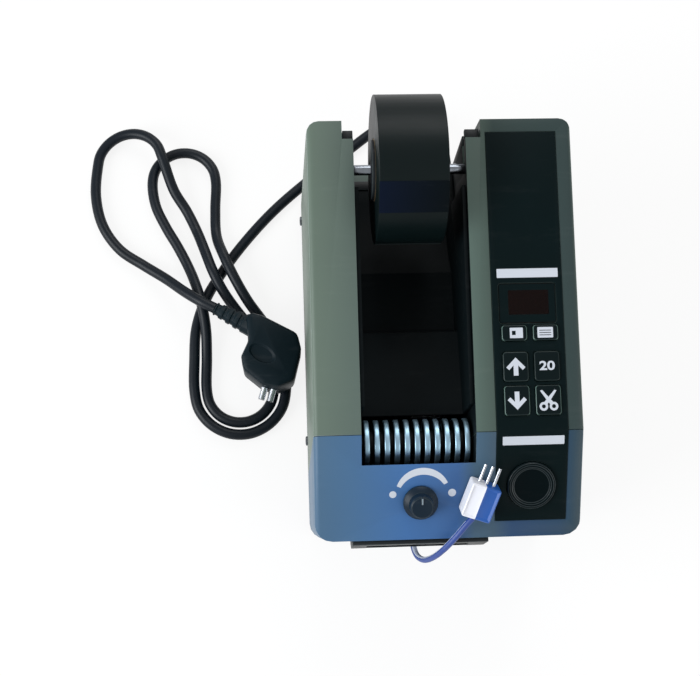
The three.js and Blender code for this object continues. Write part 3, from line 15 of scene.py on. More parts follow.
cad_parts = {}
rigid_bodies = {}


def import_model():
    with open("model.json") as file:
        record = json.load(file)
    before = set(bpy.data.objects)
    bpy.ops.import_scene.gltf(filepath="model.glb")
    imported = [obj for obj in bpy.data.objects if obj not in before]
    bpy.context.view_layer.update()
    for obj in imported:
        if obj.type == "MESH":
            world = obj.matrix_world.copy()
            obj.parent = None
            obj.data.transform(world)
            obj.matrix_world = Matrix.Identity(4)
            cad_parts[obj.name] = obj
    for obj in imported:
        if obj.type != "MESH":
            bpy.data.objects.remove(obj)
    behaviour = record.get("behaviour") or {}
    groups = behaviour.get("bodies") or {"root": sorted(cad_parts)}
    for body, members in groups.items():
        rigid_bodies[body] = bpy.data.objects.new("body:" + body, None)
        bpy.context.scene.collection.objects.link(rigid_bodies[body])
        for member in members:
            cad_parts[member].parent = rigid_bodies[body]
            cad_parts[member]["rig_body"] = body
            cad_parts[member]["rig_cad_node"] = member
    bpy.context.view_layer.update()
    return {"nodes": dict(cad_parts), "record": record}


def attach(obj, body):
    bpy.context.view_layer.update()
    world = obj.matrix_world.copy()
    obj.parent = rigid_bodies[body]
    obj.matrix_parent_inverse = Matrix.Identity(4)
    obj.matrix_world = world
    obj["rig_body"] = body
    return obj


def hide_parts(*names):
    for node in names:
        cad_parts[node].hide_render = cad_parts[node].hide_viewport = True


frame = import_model()
record = frame["record"]
nodes = frame["nodes"]
body_of_node = {name: body for body, names in record["behaviour"]["bodies"].items() for name in names}
print("pieces from the solid model:", len(nodes))

# %% [markdown]
# The photograph looks down on the dispenser from above its front left corner. A camera is placed by three
# things: where it stands, how it is turned, and how long its lens is. A long lens from far away keeps the
# sides of the blocks nearly parallel, as they are in the photograph.

# %% Camera
scene = bpy.context.scene
scene.view_settings.view_transform = "Standard"


def face_camera():
    camera_data = bpy.data.cameras.new("counter_camera")
    camera_data.lens = 66.8
    camera_data.sensor_width = 36
    camera_data.clip_start = 0.05
    camera_data.clip_end = 20
    camera = bpy.data.objects.new("counter_camera", camera_data)
    scene.collection.objects.link(camera)
    camera.location = (-0.08008, -0.16265, 0.71702)
    camera.rotation_euler = (math.radians(14.401), math.radians(-2.883), math.radians(-2.008))
    scene.camera = camera
    return camera


camera = face_camera()
print("camera stands", [round(v, 3) for v in camera.location])

# %% [markdown]
# Small helpers keep the lesson short. One clears the selection, because an operator acts on all that is
# selected. One settles a finished piece, so that its object sits at the origin and its place is in its mesh.
# Two open a mesh for editing and close it again. One selects faces in edit mode by where they are and which
# way they look, one rounds the edges of a piece, one smooths its shading, and one gives it its materials.

# %% Helpers for selecting and settling
MM = 0.001


def choose(*pieces):
    bpy.ops.object.select_all(action="DESELECT")
    for piece in pieces:
        piece.select_set(True)
    bpy.context.view_layer.objects.active = pieces[0]


def settle(piece):
    choose(piece)
    bpy.ops.object.transform_apply(location=True, rotation=True, scale=True)
    return piece


def finish_modifiers(piece):
    choose(piece)
    for modifier in list(piece.modifiers):
        bpy.ops.object.modifier_apply(modifier=modifier.name)
    return piece


def open_mesh(piece):
    choose(piece)
    bpy.ops.object.mode_set(mode="EDIT")
    bpy.ops.mesh.select_all(action="SELECT")


def close_mesh():
    bpy.ops.object.mode_set(mode="OBJECT")


def round_edges(piece, width, segments, angle, mitre="MITER_SHARP", material=-1):
    bevel = piece.modifiers.new("edge", "BEVEL")
    bevel.width = width
    bevel.segments = segments
    bevel.limit_method = "ANGLE"
    bevel.angle_limit = math.radians(angle)
    bevel.miter_outer = mitre
    bevel.material = material
    finish_modifiers(piece)


def smooth(degrees):
    bpy.ops.object.shade_smooth_by_angle(angle=math.radians(degrees))


def give(piece, *materials):
    piece.data.materials.clear()
    for material in materials:
        piece.data.materials.append(material)


def select_faces(piece, wanted):
    mesh = bmesh.from_edit_mesh(piece.data)
    for face in mesh.faces:
        face.select_set(bool(wanted(face.calc_center_median(), face.normal)))
    mesh.select_flush_mode()
    bmesh.update_edit_mesh(piece.data)


print("helpers ready")

# %% [markdown]
# The top of each block is made of two flat faces: a long one that drops gently to the front, and a short
# steeper one. Keys, prints and the knob are easiest to make lying flat, and are then laid on one of these
# faces. Each face has its own small coordinate system: x across, y up the slope, z away from the face.
# The rear wall leans too, so it gets one as well.

# %% The sloping faces and the rear wall
HALF_WIDTH = 0.0635
CHANNEL_LEFT = -0.0412
CHANNEL_RIGHT = 0.0125
PLATE_TOP = 0.003
UPPER_SLOPE = math.radians(8)
LOWER_SLOPE = math.radians(28.4)
REAR_EDGE = Vector((0, 0.090, 0.145))
LOWER_LENGTH = 0.0527
FRONT_EDGE_Y = -0.1042
BEND_Y = FRONT_EDGE_Y + LOWER_LENGTH * math.cos(LOWER_SLOPE)
BEND_Z = REAR_EDGE.z - math.tan(UPPER_SLOPE) * (REAR_EDGE.y - BEND_Y)
REAR_FOOT_Y = 0.106
REAR_LEAN = math.atan(16 / 142)
upper_face = Matrix.Translation(REAR_EDGE) @ Matrix.Rotation(UPPER_SLOPE, 4, "X")
lower_face = Matrix.Translation((0, BEND_Y, BEND_Z)) @ Matrix.Rotation(LOWER_SLOPE, 4, "X")
rear_face = (Matrix.Translation((0, REAR_FOOT_Y, PLATE_TOP)) @ Matrix.Rotation(math.pi, 4, "Z")
             @ Matrix.Rotation(math.pi / 2 - REAR_LEAN, 4, "X"))
under_face = Matrix.Translation((0, 0, PLATE_TOP)) @ Matrix.Rotation(math.pi, 4, "X")
print("the faces meet at y", round(BEND_Y, 4), "z", round(BEND_Z, 4))

# %% [markdown]
# A print or a screw has to sit exactly on what carries it. A ray is dropped from above the face onto the
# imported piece, and the new piece is laid where the ray lands, square to the surface there.

# %% Dropping a ray to find a seat
RAY_HEIGHT = 0.05
trees = {}


def seat_on(name, face, x, y, turn=0):
    if name not in trees:
        mesh = nodes[name].data
        trees[name] = BVHTree.FromPolygons([v.co for v in mesh.vertices], [p.vertices for p in mesh.polygons])
    turned = face.to_3x3()
    above = face @ Vector((x * MM, y * MM, RAY_HEIGHT))
    spot, normal, _, _ = trees[name].ray_cast(above, turned @ Vector((0, 0, -1)))
    across = turned @ Vector((1, 0, 0))
    upward = normal.cross(across).normalized()
    across = upward.cross(normal)
    seat = Matrix((across, upward, normal)).transposed().to_4x4()
    seat.translation = spot
    return seat @ Matrix.Rotation(turn, 4, "Z")


def lay_on(piece, place):
    settle(piece)
    piece.data.transform(place)
    piece.data.update()
    return piece


# %% [markdown]
# Plain colour looks like paint on nothing. Moulded plastic has a very fine grain that breaks up its
# highlight, a little unevenness in its shine, faint rubbed streaks, and a shade that drifts over a hand's
# width. Noise textures at four scales give that. They read Object coordinates, so they are fixed to the
# piece. A sweep of colour across the width paints light onto one moulding: painted window light, paler on
# the side towards the window lamp, and on the front cover a painted blue reflection.
# A material is a tree of nodes. Each small helper here adds one node, fed by the one before it.

# %% A recipe for moulded plastic
GRAIN_HEIGHT = 0.00006


def linear(colour):
    return tuple(((c / 255 + 0.055) / 1.055) ** 2.4 if c > 10 else c / 255 / 12.92 for c in colour) + (1,)


def new_material(name):
    material = bpy.data.materials.new(name)
    material.use_nodes = True
    nodes_of_material = material.node_tree.nodes
    return material, nodes_of_material["Principled BSDF"], nodes_of_material.new("ShaderNodeTexCoord")


def wire(source, node, socket):
    source.id_data.links.new(source, node.inputs[socket])


def fed_by(source, kind, socket):
    """A new node in the tree of the source, fed by it."""
    node = source.id_data.nodes.new(kind)
    wire(source, node, socket)
    return node


def add_noise(coordinates, scale, detail=4, roughness=0.5, stretch=None):
    source = coordinates.outputs["Object"]
    if stretch:
        mapping = fed_by(source, "ShaderNodeMapping", "Vector")
        mapping.inputs["Scale"].default_value = stretch
        source = mapping.outputs["Vector"]
    noise = fed_by(source, "ShaderNodeTexNoise", "Vector")
    noise.inputs["Scale"].default_value = scale
    noise.inputs["Detail"].default_value = detail
    noise.inputs["Roughness"].default_value = roughness
    return noise.outputs["Fac"]


def add_ramp(source, stops):
    ramp = fed_by(source, "ShaderNodeValToRGB", "Fac")
    while len(ramp.color_ramp.elements) < len(stops):
        ramp.color_ramp.elements.new(0.5)
    for element, (place, colour) in zip(ramp.color_ramp.elements, stops):
        element.position = place
        element.color = colour if len(colour) == 4 else (*colour, 1)
    return ramp.outputs["Color"]


def add_mix(kind, factor, first, second):
    mix = first.id_data.nodes.new("ShaderNodeMix")
    mix.data_type = "RGBA"
    mix.blend_type = kind
    mix.inputs[0].default_value = factor
    wire(first, mix, 6)
    wire(second, mix, 7)
    return mix.outputs[2]


def shade(colour, factor):
    return tuple(min(c * factor, 1) for c in colour[:3]) + (1,)


def add_range(source, low, high, start=0, stop=1):
    spread = fed_by(source, "ShaderNodeMapRange", "Value")
    for name, value in (("From Min", start), ("From Max", stop), ("To Min", low), ("To Max", high)):
        spread.inputs[name].default_value = value
    return spread.outputs["Result"]


def add_bump(shader, source, strength, distance):
    bump = fed_by(source, "ShaderNodeBump", "Height")
    bump.inputs["Strength"].default_value = strength
    bump.inputs["Distance"].default_value = distance
    wire(bump.outputs["Normal"], shader, "Normal")
    return bump


def place_of(coordinates):
    return fed_by(coordinates.outputs["Object"], "ShaderNodeSeparateXYZ", 0).outputs


def sweep_across(coordinates, sweep):
    """Colours from left to right, each at its own place on the piece."""
    left, right = sweep[0][0], sweep[-1][0]
    spread = add_range(place_of(coordinates)["X"], 0, 1, left, right)
    return add_ramp(spread, [((x - left) / (right - left), linear(colour)) for x, colour in sweep])


def drifting(noise, colour, drift):
    base = linear(colour)
    return add_ramp(noise, [(0.3, shade(base, 1 - drift)), (0.7, shade(base, 1 + drift))])


def moulded(name, colour=None, roughness=0.4, drift=0.06, grain=1400, depth=0.2, shine=0.5, sweep=None,
            rubbed=0.06):
    material, shader, coordinates = new_material(name)
    shader.inputs["Specular IOR Level"].default_value = shine
    cloud = add_noise(coordinates, 14, 3)
    if sweep:
        darker = add_ramp(cloud, [(0.3, (1 - drift,) * 3), (0.7, (1, 1, 1))])
        body = add_mix("MULTIPLY", 1, sweep_across(coordinates, sweep), darker)
    else:
        body = drifting(cloud, colour, drift)
    streak = add_noise(coordinates, 34, 7, 0.7, (1, 5, 5))
    streaks = add_ramp(streak, [(0.56, (0, 0, 0)), (0.68, (rubbed,) * 3)])
    wire(add_mix("ADD", 0.5, body, streaks), shader, "Base Color")
    smear = add_noise(coordinates, 60, 5, 0.6)
    wire(add_range(smear, roughness - 0.05, roughness + 0.08), shader, "Roughness")
    add_bump(shader, add_noise(coordinates, grain, 2), depth, GRAIN_HEIGHT)
    return material


print("recipe for moulded plastic ready")

# %% [markdown]
# The imported pieces have knife-sharp edges, and nothing moulded or stamped has those. A copy of each visible
# piece has its loose triangles joined, its flat faces cleaned, and a small bevel put on its edges. The bevel
# catches the light as a thin bright line, which is what tells the eye that the piece is real. Its faces may
# take a second material, paler as a painted highlight along the edge, and on some pieces duller for wear.
# The finished copy rides on the same body as the imported piece and replaces it.

# %% Give a imported piece its edges
def carry(piece, body):
    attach(piece, body)
    return piece


# The rubbed edge material is a painted highlight along the bevel, on some pieces also duller for wear.
def dress(name, material, edge=0.5, segments=2, angle=32, rubbed=None):
    piece = nodes[name].copy()
    piece.data = nodes[name].data.copy()
    piece.name = name + "_skin"
    piece.parent = None
    scene.collection.objects.link(piece)
    open_mesh(piece)
    bpy.ops.mesh.remove_doubles(threshold=0.000002)
    bpy.ops.mesh.dissolve_limited(angle_limit=math.radians(0.6))
    close_mesh()
    give(piece, *([material, rubbed] if rubbed else [material]))
    if edge:
        round_edges(piece, edge * MM, segments, angle, "MITER_ARC", 1 if rubbed else -1)
    choose(piece)
    smooth(angle)
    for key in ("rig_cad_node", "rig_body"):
        if key in piece:
            del piece[key]
    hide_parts(name)
    return carry(piece, body_of_node[name])


def second_finish(piece, material, wanted):
    """Faces that the rule picks take another material."""
    piece.data.materials.append(material)
    place = len(piece.data.materials) - 1
    picked = 0
    for polygon in piece.data.polygons:
        if wanted(polygon.center, polygon.normal):
            polygon.material_index = place
            picked += 1
    return picked


def paint(material, *names):
    for name in names:
        give(nodes[name], material)


print("pieces can be dressed")

# %% [markdown]
# Metals are seen by what they mirror. A brushed or turned face has long fine scratches in one direction,
# so its noise is stretched along them, and the same noise drives its colour, its shine and its bump.

# %% A recipe for metals
SCRATCH_HEIGHT = 0.00003


def metal(name, colour, roughness=0.28, stretch=(1, 40, 40), depth=0.12):
    material, shader, coordinates = new_material(name)
    shader.inputs["Metallic"].default_value = 1
    base = linear(colour)
    brush = add_noise(coordinates, 60, 4, 0.6, stretch)
    brushed = add_ramp(brush, [(0.25, shade(base, 0.84)), (0.75, shade(base, 1.1))])
    stains = add_ramp(add_noise(coordinates, 30, 3), [(0.35, (0.86, 0.86, 0.87)), (0.6, (1, 1, 1))])
    wire(add_mix("MULTIPLY", 1, brushed, stains), shader, "Base Color")
    wire(add_range(brush, roughness - 0.06, roughness + 0.08), shader, "Roughness")
    add_bump(shader, brush, depth, SCRATCH_HEIGHT)
    return material


pin_metal = metal("plated_pins", (190, 194, 200), roughness=0.25, stretch=(3, 3, 3))
print("two recipes ready")

# %% [markdown]
# The two cords come next, since how far they reach decides the picture. A cord keeps its length: it leaves
# its gland straight, drops to the counter, is folded into a loose hank beside the dispenser and ends in its
# plug, which lies on the hank. The route is a list of points on the cord's middle line, and the tube is swept
# along a smooth curve through them.

# %% Cord routes
MAIN_ROUTE = [
    (20, 126.2, 12), (20, 132, 12), (17.5, 142, 11), (9.5, 150, 8.5), (-3, 152.5, 5.5), (-18, 146, 3.8),
    (-38, 131, 3.3), (-61, 113, 3.3), (-80, 96, 3.3), (-97, 77, 3.3), (-109.5, 60, 3.3), (-119, 44, 3.3),
    (-124.5, 27, 3.3), (-125.7, 8, 3.3), (-125.7, -9, 3.3), (-123.2, -20.1, 3.3), (-116.1, -28.9, 3.3),
    (-105.9, -33.9, 3.3), (-94.5, -33.9, 3.3), (-84.3, -28.9, 3.3), (-77.2, -20.1, 3.3), (-74.7, -9, 3.3),
    (-75.3, 4, 3.3), (-79, 17, 3.3), (-86.5, 29.5, 3.9), (-95, 41, 7.8), (-102.3, 54, 10.4),
    (-108.2, 67.5, 9.9), (-112.6, 81.5, 4.4), (-113.2, 98, 3.3), (-112.7, 115, 3.3), (-114.5, 122.9, 3.3),
    (-119.6, 129.3, 3.3), (-126.9, 132.8, 3.3), (-135.1, 132.8, 3.3), (-142.4, 129.3, 3.3),
    (-147.5, 122.9, 3.3), (-149.3, 115, 3.3), (-147.5, 101, 3.3), (-141.5, 87.5, 3.3), (-134.5, 75, 3.3),
    (-128.3, 62, 4.2), (-124, 50, 8), (-120.8, 38, 10.4), (-118.9, 25, 7.5), (-118.7, 10, 3.8),
    (-118.9, -9, 3.3), (-117, -17.1, 3.3), (-111.9, -23.6, 3.3), (-104.4, -27.2, 3.3), (-96, -27.2, 3.3),
    (-88.5, -23.6, 3.3), (-83.4, -17.1, 3.3), (-81.5, -9, 3.3), (-82, 4, 3.3), (-85.8, 14.5, 3.3),
    (-92.5, 25, 3.6), (-101.2, 36, 5.2), (-109, 47, 9), (-114.6, 58.5, 10.4), (-119, 71, 8), (-123.6, 84, 4),
    (-129.5, 97, 3.4), (-136.8, 109, 6.4), (-143.3, 128.3, 10.3), (-146.3, 135.7, 10.5), (-152.1, 141.2, 9.4),
    (-159.6, 143.9, 7.6), (-167.6, 143.2, 5.8), (-174.6, 139.2, 4.4), (-179.3, 132.8, 3.6), (-181, 125, 3.3),
    (-181.8, 107, 3.3), (-177.6, 89, 3.3), (-167.8, 74.5, 3.3), (-154, 64.5, 4), (-141.2, 55.2, 7.7),
    (-130.2, 45.6, 13.6), (-121.2, 38.8, 17.6), (-113.1, 34.3, 18.3),
]
LEAD_ROUTE = [
    (10.4, -96.1, 109.8), (7.6, -98.9, 108.2), (2.6, -104.4, 103.8), (-2.4, -109.2, 97.5), (-6.6, -112, 89),
    (-10.2, -112.4, 80.5), (-12.8, -109.6, 73.6), (-14, -105, 71), (-14, -99.5, 71),
]


def smooth_route(route, pieces_per_span):
    """Points of a centripetal curve through the route, in metres."""
    spots = [Vector(spot) * MM for spot in route]
    spots = [2 * spots[0] - spots[1], *spots, 2 * spots[-1] - spots[-2]]
    line = []
    for a, b, c, d in zip(spots, spots[1:], spots[2:], spots[3:]):
        t1 = (b - a).length ** 0.5
        t2 = t1 + (c - b).length ** 0.5
        t3 = t2 + (d - c).length ** 0.5
        for i in range(pieces_per_span):
            t = t1 + (t2 - t1) * i / pieces_per_span
            ab = a.lerp(b, t / t1)
            bc = b.lerp(c, (t - t1) / (t2 - t1))
            cd = c.lerp(d, (t - t2) / (t3 - t2))
            early = ab.lerp(bc, t / t2)
            late = bc.lerp(cd, (t - t1) / (t3 - t1))
            line.append(early.lerp(late, (t - t1) / (t2 - t1)))
    line.append(spots[-2])
    return line


def length_of(line):
    return sum((b - a).length for a, b in zip(line, line[1:]))


def line_curve(name, dimensions, lines, closed=False):
    curve = bpy.data.curves.new(name, "CURVE")
    curve.dimensions = dimensions
    for line in lines:
        spline = curve.splines.new("POLY")
        spline.points.add(len(line) - 1)
        for point, spot in zip(spline.points, line):
            point.co = (*spot, 1)
        spline.use_cyclic_u = closed
    piece = bpy.data.objects.new(name, curve)
    scene.collection.objects.link(piece)
    return piece


def cord_curve(name, line, diameter):
    piece = line_curve(name, "3D", [line])
    piece.data.bevel_depth = diameter / 2
    piece.data.bevel_resolution = 5
    piece.data.use_fill_caps = True
    return piece


CORD_THICK = 0.006
LEAD_THICK = 0.003
main_line = smooth_route(MAIN_ROUTE, 6)
lead_line = smooth_route(LEAD_ROUTE, 8)
print("mains cord", round(length_of(main_line), 3), "m, sensor lead", round(length_of(lead_line), 3), "m")

# %% [markdown]
# A cord's sheath is soft plastic, extruded in one go, so its skin is smooth with a faint waviness along it
# and a dull shine. Its plug is moulded onto it in the same plastic, with bare metal pins. The pins are part
# of the plug's solid, so the faces that lie beyond the plug's end are given the metal.

# %% Mains cord, gland and plug
sheath = moulded("cord_sheath", (6, 16, 25), roughness=0.4, drift=0.14, grain=500, depth=0.15, shine=0.25,
                 rubbed=0.01)
plug_black = moulded("plug_rubber", (7, 24, 31), roughness=0.44, drift=0.16, grain=900, depth=0.3, shine=0.14,
                     rubbed=0.015)
# Plug edges: painted highlight, and duller for wear.
plug_edge_wear_and_highlight = moulded("plug_edge_wear_and_painted_highlight", (34, 52, 60), roughness=0.5, drift=0.2, shine=0.35)
main_plug = dress("main_plug", plug_black, edge=0.35, angle=28, rubbed=plug_edge_wear_and_highlight)
PIN_ROOT = Vector((-0.084, -0.0115, 0.0183))
PLUG_TURN = math.radians(-17)
PIN_WAY = Vector((math.sin(PLUG_TURN), -math.cos(PLUG_TURN), 0))
PLUG_NOSE = 0.0022
pins = second_finish(main_plug, pin_metal, lambda at, look: (at - PIN_ROOT).dot(PIN_WAY) > PLUG_NOSE)
gland = dress("cord_gland", plug_black, edge=0.25, rubbed=plug_edge_wear_and_highlight)
main_cord = cord_curve("mains_cord", main_line, CORD_THICK)
give(main_cord, sheath)
carry(main_cord, "case")
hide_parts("main_cord")
print("faces of the mains plug's pins:", pins)

# %% [markdown]
# The sensor's thin lead is blue with a pale painted highlight along the inside of its bend. Its little plug
# is painted white on its lit half, a painted highlight, and blue on the other, a painted shade with a blue
# reflection. The tube becomes a mesh, and the faces on the inside of the lead's bend take the painted
# highlight.
# The plug is cut down its middle with a bisect, and the top of each half is inset and sunk.

# %% Sensor lead and its plug
lead_painted_highlight = moulded("lead_painted_highlight", (196, 204, 222), roughness=0.4, drift=0.08)
wire_blue = moulded("wire_blue", (40, 66, 134), roughness=0.4, drift=0.12)
plug_painted_lit_half = moulded("plug_painted_lit_half", (222, 224, 232), roughness=0.42, drift=0.05)
plug_painted_shade_and_reflection = moulded("plug_painted_shade_and_reflection", (30, 82, 158), roughness=0.36, drift=0.1, shine=0.4)
INSIDE_OF_BEND = (lead_line[0] + lead_line[-1]) / 2
HIGHLIGHT_START = 0.0004


# Faces of the lead that take the painted highlight.
def on_painted_highlight_side(spot):
    i = min(range(len(lead_line) - 1), key=lambda k: (lead_line[k] - spot).length)
    along = (lead_line[i + 1] - lead_line[i]).normalized()
    inward = INSIDE_OF_BEND - lead_line[i]
    inward = (inward - along * inward.dot(along)).normalized()
    return (spot - lead_line[i]).dot(inward) > HIGHLIGHT_START


def sensor_lead():
    choose(cord_curve("thin_lead", lead_line, LEAD_THICK))
    bpy.ops.object.convert(target="MESH")
    lead = bpy.context.object
    give(lead, wire_blue)
    second_finish(lead, lead_painted_highlight, lambda at, look: on_painted_highlight_side(at))
    bpy.ops.object.shade_smooth()
    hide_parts("sensor_lead")
    return carry(lead, "case")


PLUG_PLACE = (0.0138, -0.0315, 0)
PLUG_YAW = math.radians(-19.8)
PLUG_SPLIT = -0.0004
PLUG_TOP = 0.0104
PLUG_END = 0.0086


def sensor_plug():
    plug = dress("sensor_plug", plug_painted_shade_and_reflection, edge=0)
    seat = lower_face @ Matrix.Translation(PLUG_PLACE) @ Matrix.Rotation(PLUG_YAW, 4, "Z")
    home = seat.inverted()
    across = seat.to_3x3() @ Vector((1, 0, 0))
    open_mesh(plug)
    bpy.ops.mesh.bisect(plane_co=seat @ Vector((PLUG_SPLIT, 0, 0)), plane_no=across)
    bpy.ops.mesh.select_mode(type="FACE")
    select_faces(plug, lambda at, look: (home @ at).z > PLUG_TOP)
    bpy.ops.mesh.inset(thickness=1.1 * MM, use_individual=True)
    bpy.ops.transform.translate(value=seat.to_3x3() @ Vector((0, 0, -0.7 * MM)))
    close_mesh()
    # The left half is painted white as its lit side; the rest stays blue as painted shade with a blue
    # reflection.
    second_finish(plug, plug_painted_lit_half, lambda at, look: (home @ at).x < PLUG_SPLIT)
    second_finish(plug, pin_metal, lambda at, look: (home @ at).y > PLUG_END)
    round_edges(plug, 0.25 * MM, 2, 35)
    smooth(35)
    return plug


small_plug = sensor_plug()
thin_lead = sensor_lead()
print("sensor plug has", len(small_plug.data.polygons), "faces")

# %% [markdown]
# The blocks are moulded in grey plastic with a slight sheen. Their colour sweep is painted window light:
# paler on the left block, darker over the right block. The front cover is a moulding of its own. Its blue on
# the left and in the middle is a painted reflection, with a painted shadow of the sensor plug, and it is
# darker and greyer round the panel on the right. Its upright front face has a calmer painted sweep. The edge
# faces are duller, for wear, and paler, a painted highlight that is brightest on the left side and on the
# channel's right border. A sweep is a list of places from left to right, each with its colour.

# %% Case
# Painted window light: paler over the left block, darker over the right block and round the panel.
CASE_PAINTED_LIGHT_SWEEP = [
    (-HALF_WIDTH, (92, 107, 96)), (-0.041, (86, 101, 95)), (CHANNEL_RIGHT, (80, 98, 91)),
    (0.0215, (68, 84, 78)), (0.026, (50, 66, 64)), (0.0618, (44, 60, 60)), (HALF_WIDTH, (70, 86, 80)),
]
# Painted highlight along the edges, brightest on the left side and on the inner border of the right block;
# the edges are also duller for wear.
CASE_EDGE_PAINTED_HIGHLIGHT_SWEEP = [
    (-HALF_WIDTH, (150, 160, 160)), (-0.041, (104, 118, 114)), (0.0122, (186, 198, 194)),
    (0.02, (138, 150, 140)), (HALF_WIDTH, (104, 116, 108)),
]
# Painted blue reflection on the left and middle of the cover, a darker stop at 4 mm as the painted shadow of
# the sensor plug, greyer round the panel.
COVER_PAINTED_REFLECTION_SWEEP = [
    (-HALF_WIDTH, (68, 98, 124)), (-0.045, (66, 102, 138)), (-0.02, (60, 104, 158)), (0.004, (54, 92, 142)),
    (CHANNEL_RIGHT, (66, 93, 114)), (0.0215, (58, 82, 100)), (0.03, (34, 65, 100)), (0.053, (34, 64, 90)),
    (0.0618, (42, 64, 74)), (HALF_WIDTH, (60, 84, 98)),
]
# Painted highlight along the cover's edges, brightest on the channel's right border.
COVER_EDGE_PAINTED_HIGHLIGHT_SWEEP = [
    (-HALF_WIDTH, (160, 174, 188)), (-0.05, (112, 146, 186)), (0.004, (104, 140, 184)),
    (0.0122, (176, 190, 196)), (0.02, (92, 118, 140)), (HALF_WIDTH, (82, 104, 118)),
]
# The upright front face takes a calmer painted blue reflection.
COVER_FRONT_PAINTED_REFLECTION_SWEEP = [
    (-HALF_WIDTH, (60, 92, 118)), (-0.02, (54, 90, 134)), (0.02, (48, 80, 114)), (HALF_WIDTH, (44, 70, 88)),
]
case_grey_painted_light = moulded("case_grey_painted_light", roughness=0.42, drift=0.05, shine=0.3, rubbed=0.014, sweep=CASE_PAINTED_LIGHT_SWEEP)
case_edge_wear_and_highlight = moulded("case_edge_wear_and_painted_highlight", roughness=0.5, drift=0.12, shine=0.35, sweep=CASE_EDGE_PAINTED_HIGHLIGHT_SWEEP)
cover_painted_reflection = moulded("cover_grey_painted_blue_reflection", roughness=0.4, drift=0.06, shine=0.3, rubbed=0.014, sweep=COVER_PAINTED_REFLECTION_SWEEP)
cover_edge_wear_and_highlight = moulded("cover_edge_wear_and_painted_highlight", roughness=0.5, drift=0.12, shine=0.35, sweep=COVER_EDGE_PAINTED_HIGHLIGHT_SWEEP)
cover_front_painted_reflection = moulded("cover_front_face", roughness=0.42, drift=0.08, shine=0.28, rubbed=0.012,
                      sweep=COVER_FRONT_PAINTED_REFLECTION_SWEEP)
black_plastic = moulded("black_plastic", (14, 20, 23), roughness=0.45, drift=0.14, depth=0.3, shine=0.3,
                        rubbed=0.015)
# Edges of the black parts: painted highlight, and duller for wear.
black_edge_wear_and_highlight = moulded("black_edge_wear_and_painted_highlight", (48, 58, 60), roughness=0.5, drift=0.2, shine=0.3)
channel_black_and_painted_shade = moulded("channel_black_and_painted_shade", (4, 13, 16), roughness=0.6, drift=0.2, depth=0.3, shine=0.12,
                        rubbed=0.006)
for name in ("left_housing", "right_housing", "rear_cover"):
    dress(name, case_grey_painted_light, edge=0.7, segments=3, rubbed=case_edge_wear_and_highlight)
cover = dress("front_cover", cover_painted_reflection, edge=0.7, segments=3, rubbed=cover_edge_wear_and_highlight)
second_finish(cover, cover_front_painted_reflection, lambda at, look: look.y < -0.95)
for name in ("rear_frame", "outlet_guard", "switch_frame"):
    dress(name, black_plastic, edge=0.35, rubbed=black_edge_wear_and_highlight)
dress("tape_tub", channel_black_and_painted_shade, edge=0.4)
print("case pieces dressed")

# %% [markdown]
# The walls of the channel belong to the two blocks, but no light reaches them and they look almost black.
# Their faces are picked by place: between the blocks, looking across. They are painted the same near-black as
# the tub, a painted shade on the grey blocks, so that the bright borders of the blocks stand out as in the
# photograph.

# %% Channel walls
WALL_MARGIN = 0.0006


# Faces that take the painted shade: the blocks' walls between them, looking across.
def is_shaded_channel_wall(at, look):
    return abs(look.x) > 0.9 and CHANNEL_LEFT - WALL_MARGIN < at.x < CHANNEL_RIGHT + WALL_MARGIN


walls = 0
for name in ("left_housing", "right_housing", "front_cover"):
    walls += second_finish(bpy.data.objects[name + "_skin"], channel_black_and_painted_shade, is_shaded_channel_wall)
print("faces of the channel's walls:", walls)

# %% [markdown]
# The control panel is one printed plastic sheet that follows both faces. It is nearly black with a soft
# matt skin. Two pale strips are printed on it. A print is a flat filled curve, given the thickness of a coat
# of ink, turned into a mesh and laid where a ray finds the sheet.

# %% Panel and its printed strips
panel_print = moulded("panel_sheet", (4, 18, 20), roughness=0.46, drift=0.16, grain=2200, shine=0.07,
                      rubbed=0.005)
# Painted highlight on the sheet's edge.
panel_painted_edge_highlight = moulded("panel_edge_painted_highlight", (36, 56, 54), roughness=0.4, drift=0.15, shine=0.3)
ink_white = moulded("ink_white", (192, 198, 208), roughness=0.5, drift=0.05, grain=2600, depth=0.3, rubbed=0)
dress("control_panel", panel_print, edge=0.15, rubbed=panel_painted_edge_highlight)
STRIP_X = 39.4
STRIP_WIDE = 29.1


def ink_shape(name, outlines, thick=0.05):
    lines = [[(x * MM, y * MM, 0) for x, y in outline] for outline in outlines]
    piece = line_curve(name, "2D", lines, closed=True)
    piece.data.fill_mode = "BOTH"
    piece.data.extrude = thick * MM
    choose(piece)
    bpy.ops.object.convert(target="MESH")
    return close_shape(bpy.context.object)


def close_shape(piece):
    open_mesh(piece)
    bpy.ops.mesh.remove_doubles(threshold=0.000001)
    bpy.ops.mesh.normals_make_consistent(inside=False)
    close_mesh()
    return piece


def oblong(wide, high, x=0, y=0, corner=0):
    """An upright oblong; a corner radius gives it round corners, each from three short steps."""
    spots = []
    for side_x, side_y, start in ((1, 1, 0), (-1, 1, 90), (-1, -1, 180), (1, -1, 270)):
        for step in range(4 if corner else 1):
            angle = math.radians(start + 30 * step)
            spots.append((x + side_x * (wide / 2 - corner) + corner * math.cos(angle),
                          y + side_y * (high / 2 - corner) + corner * math.sin(angle)))
    return spots


def ink_on(piece, node, face, x, y, turn=0, material=None, slot="plug_pale"):
    """A print rides on the body of the piece that it is laid on."""
    lay_on(piece, seat_on(node, face, x, y, turn))
    give(piece, material or ink_white)
    return carry(piece, body_of_node[node])


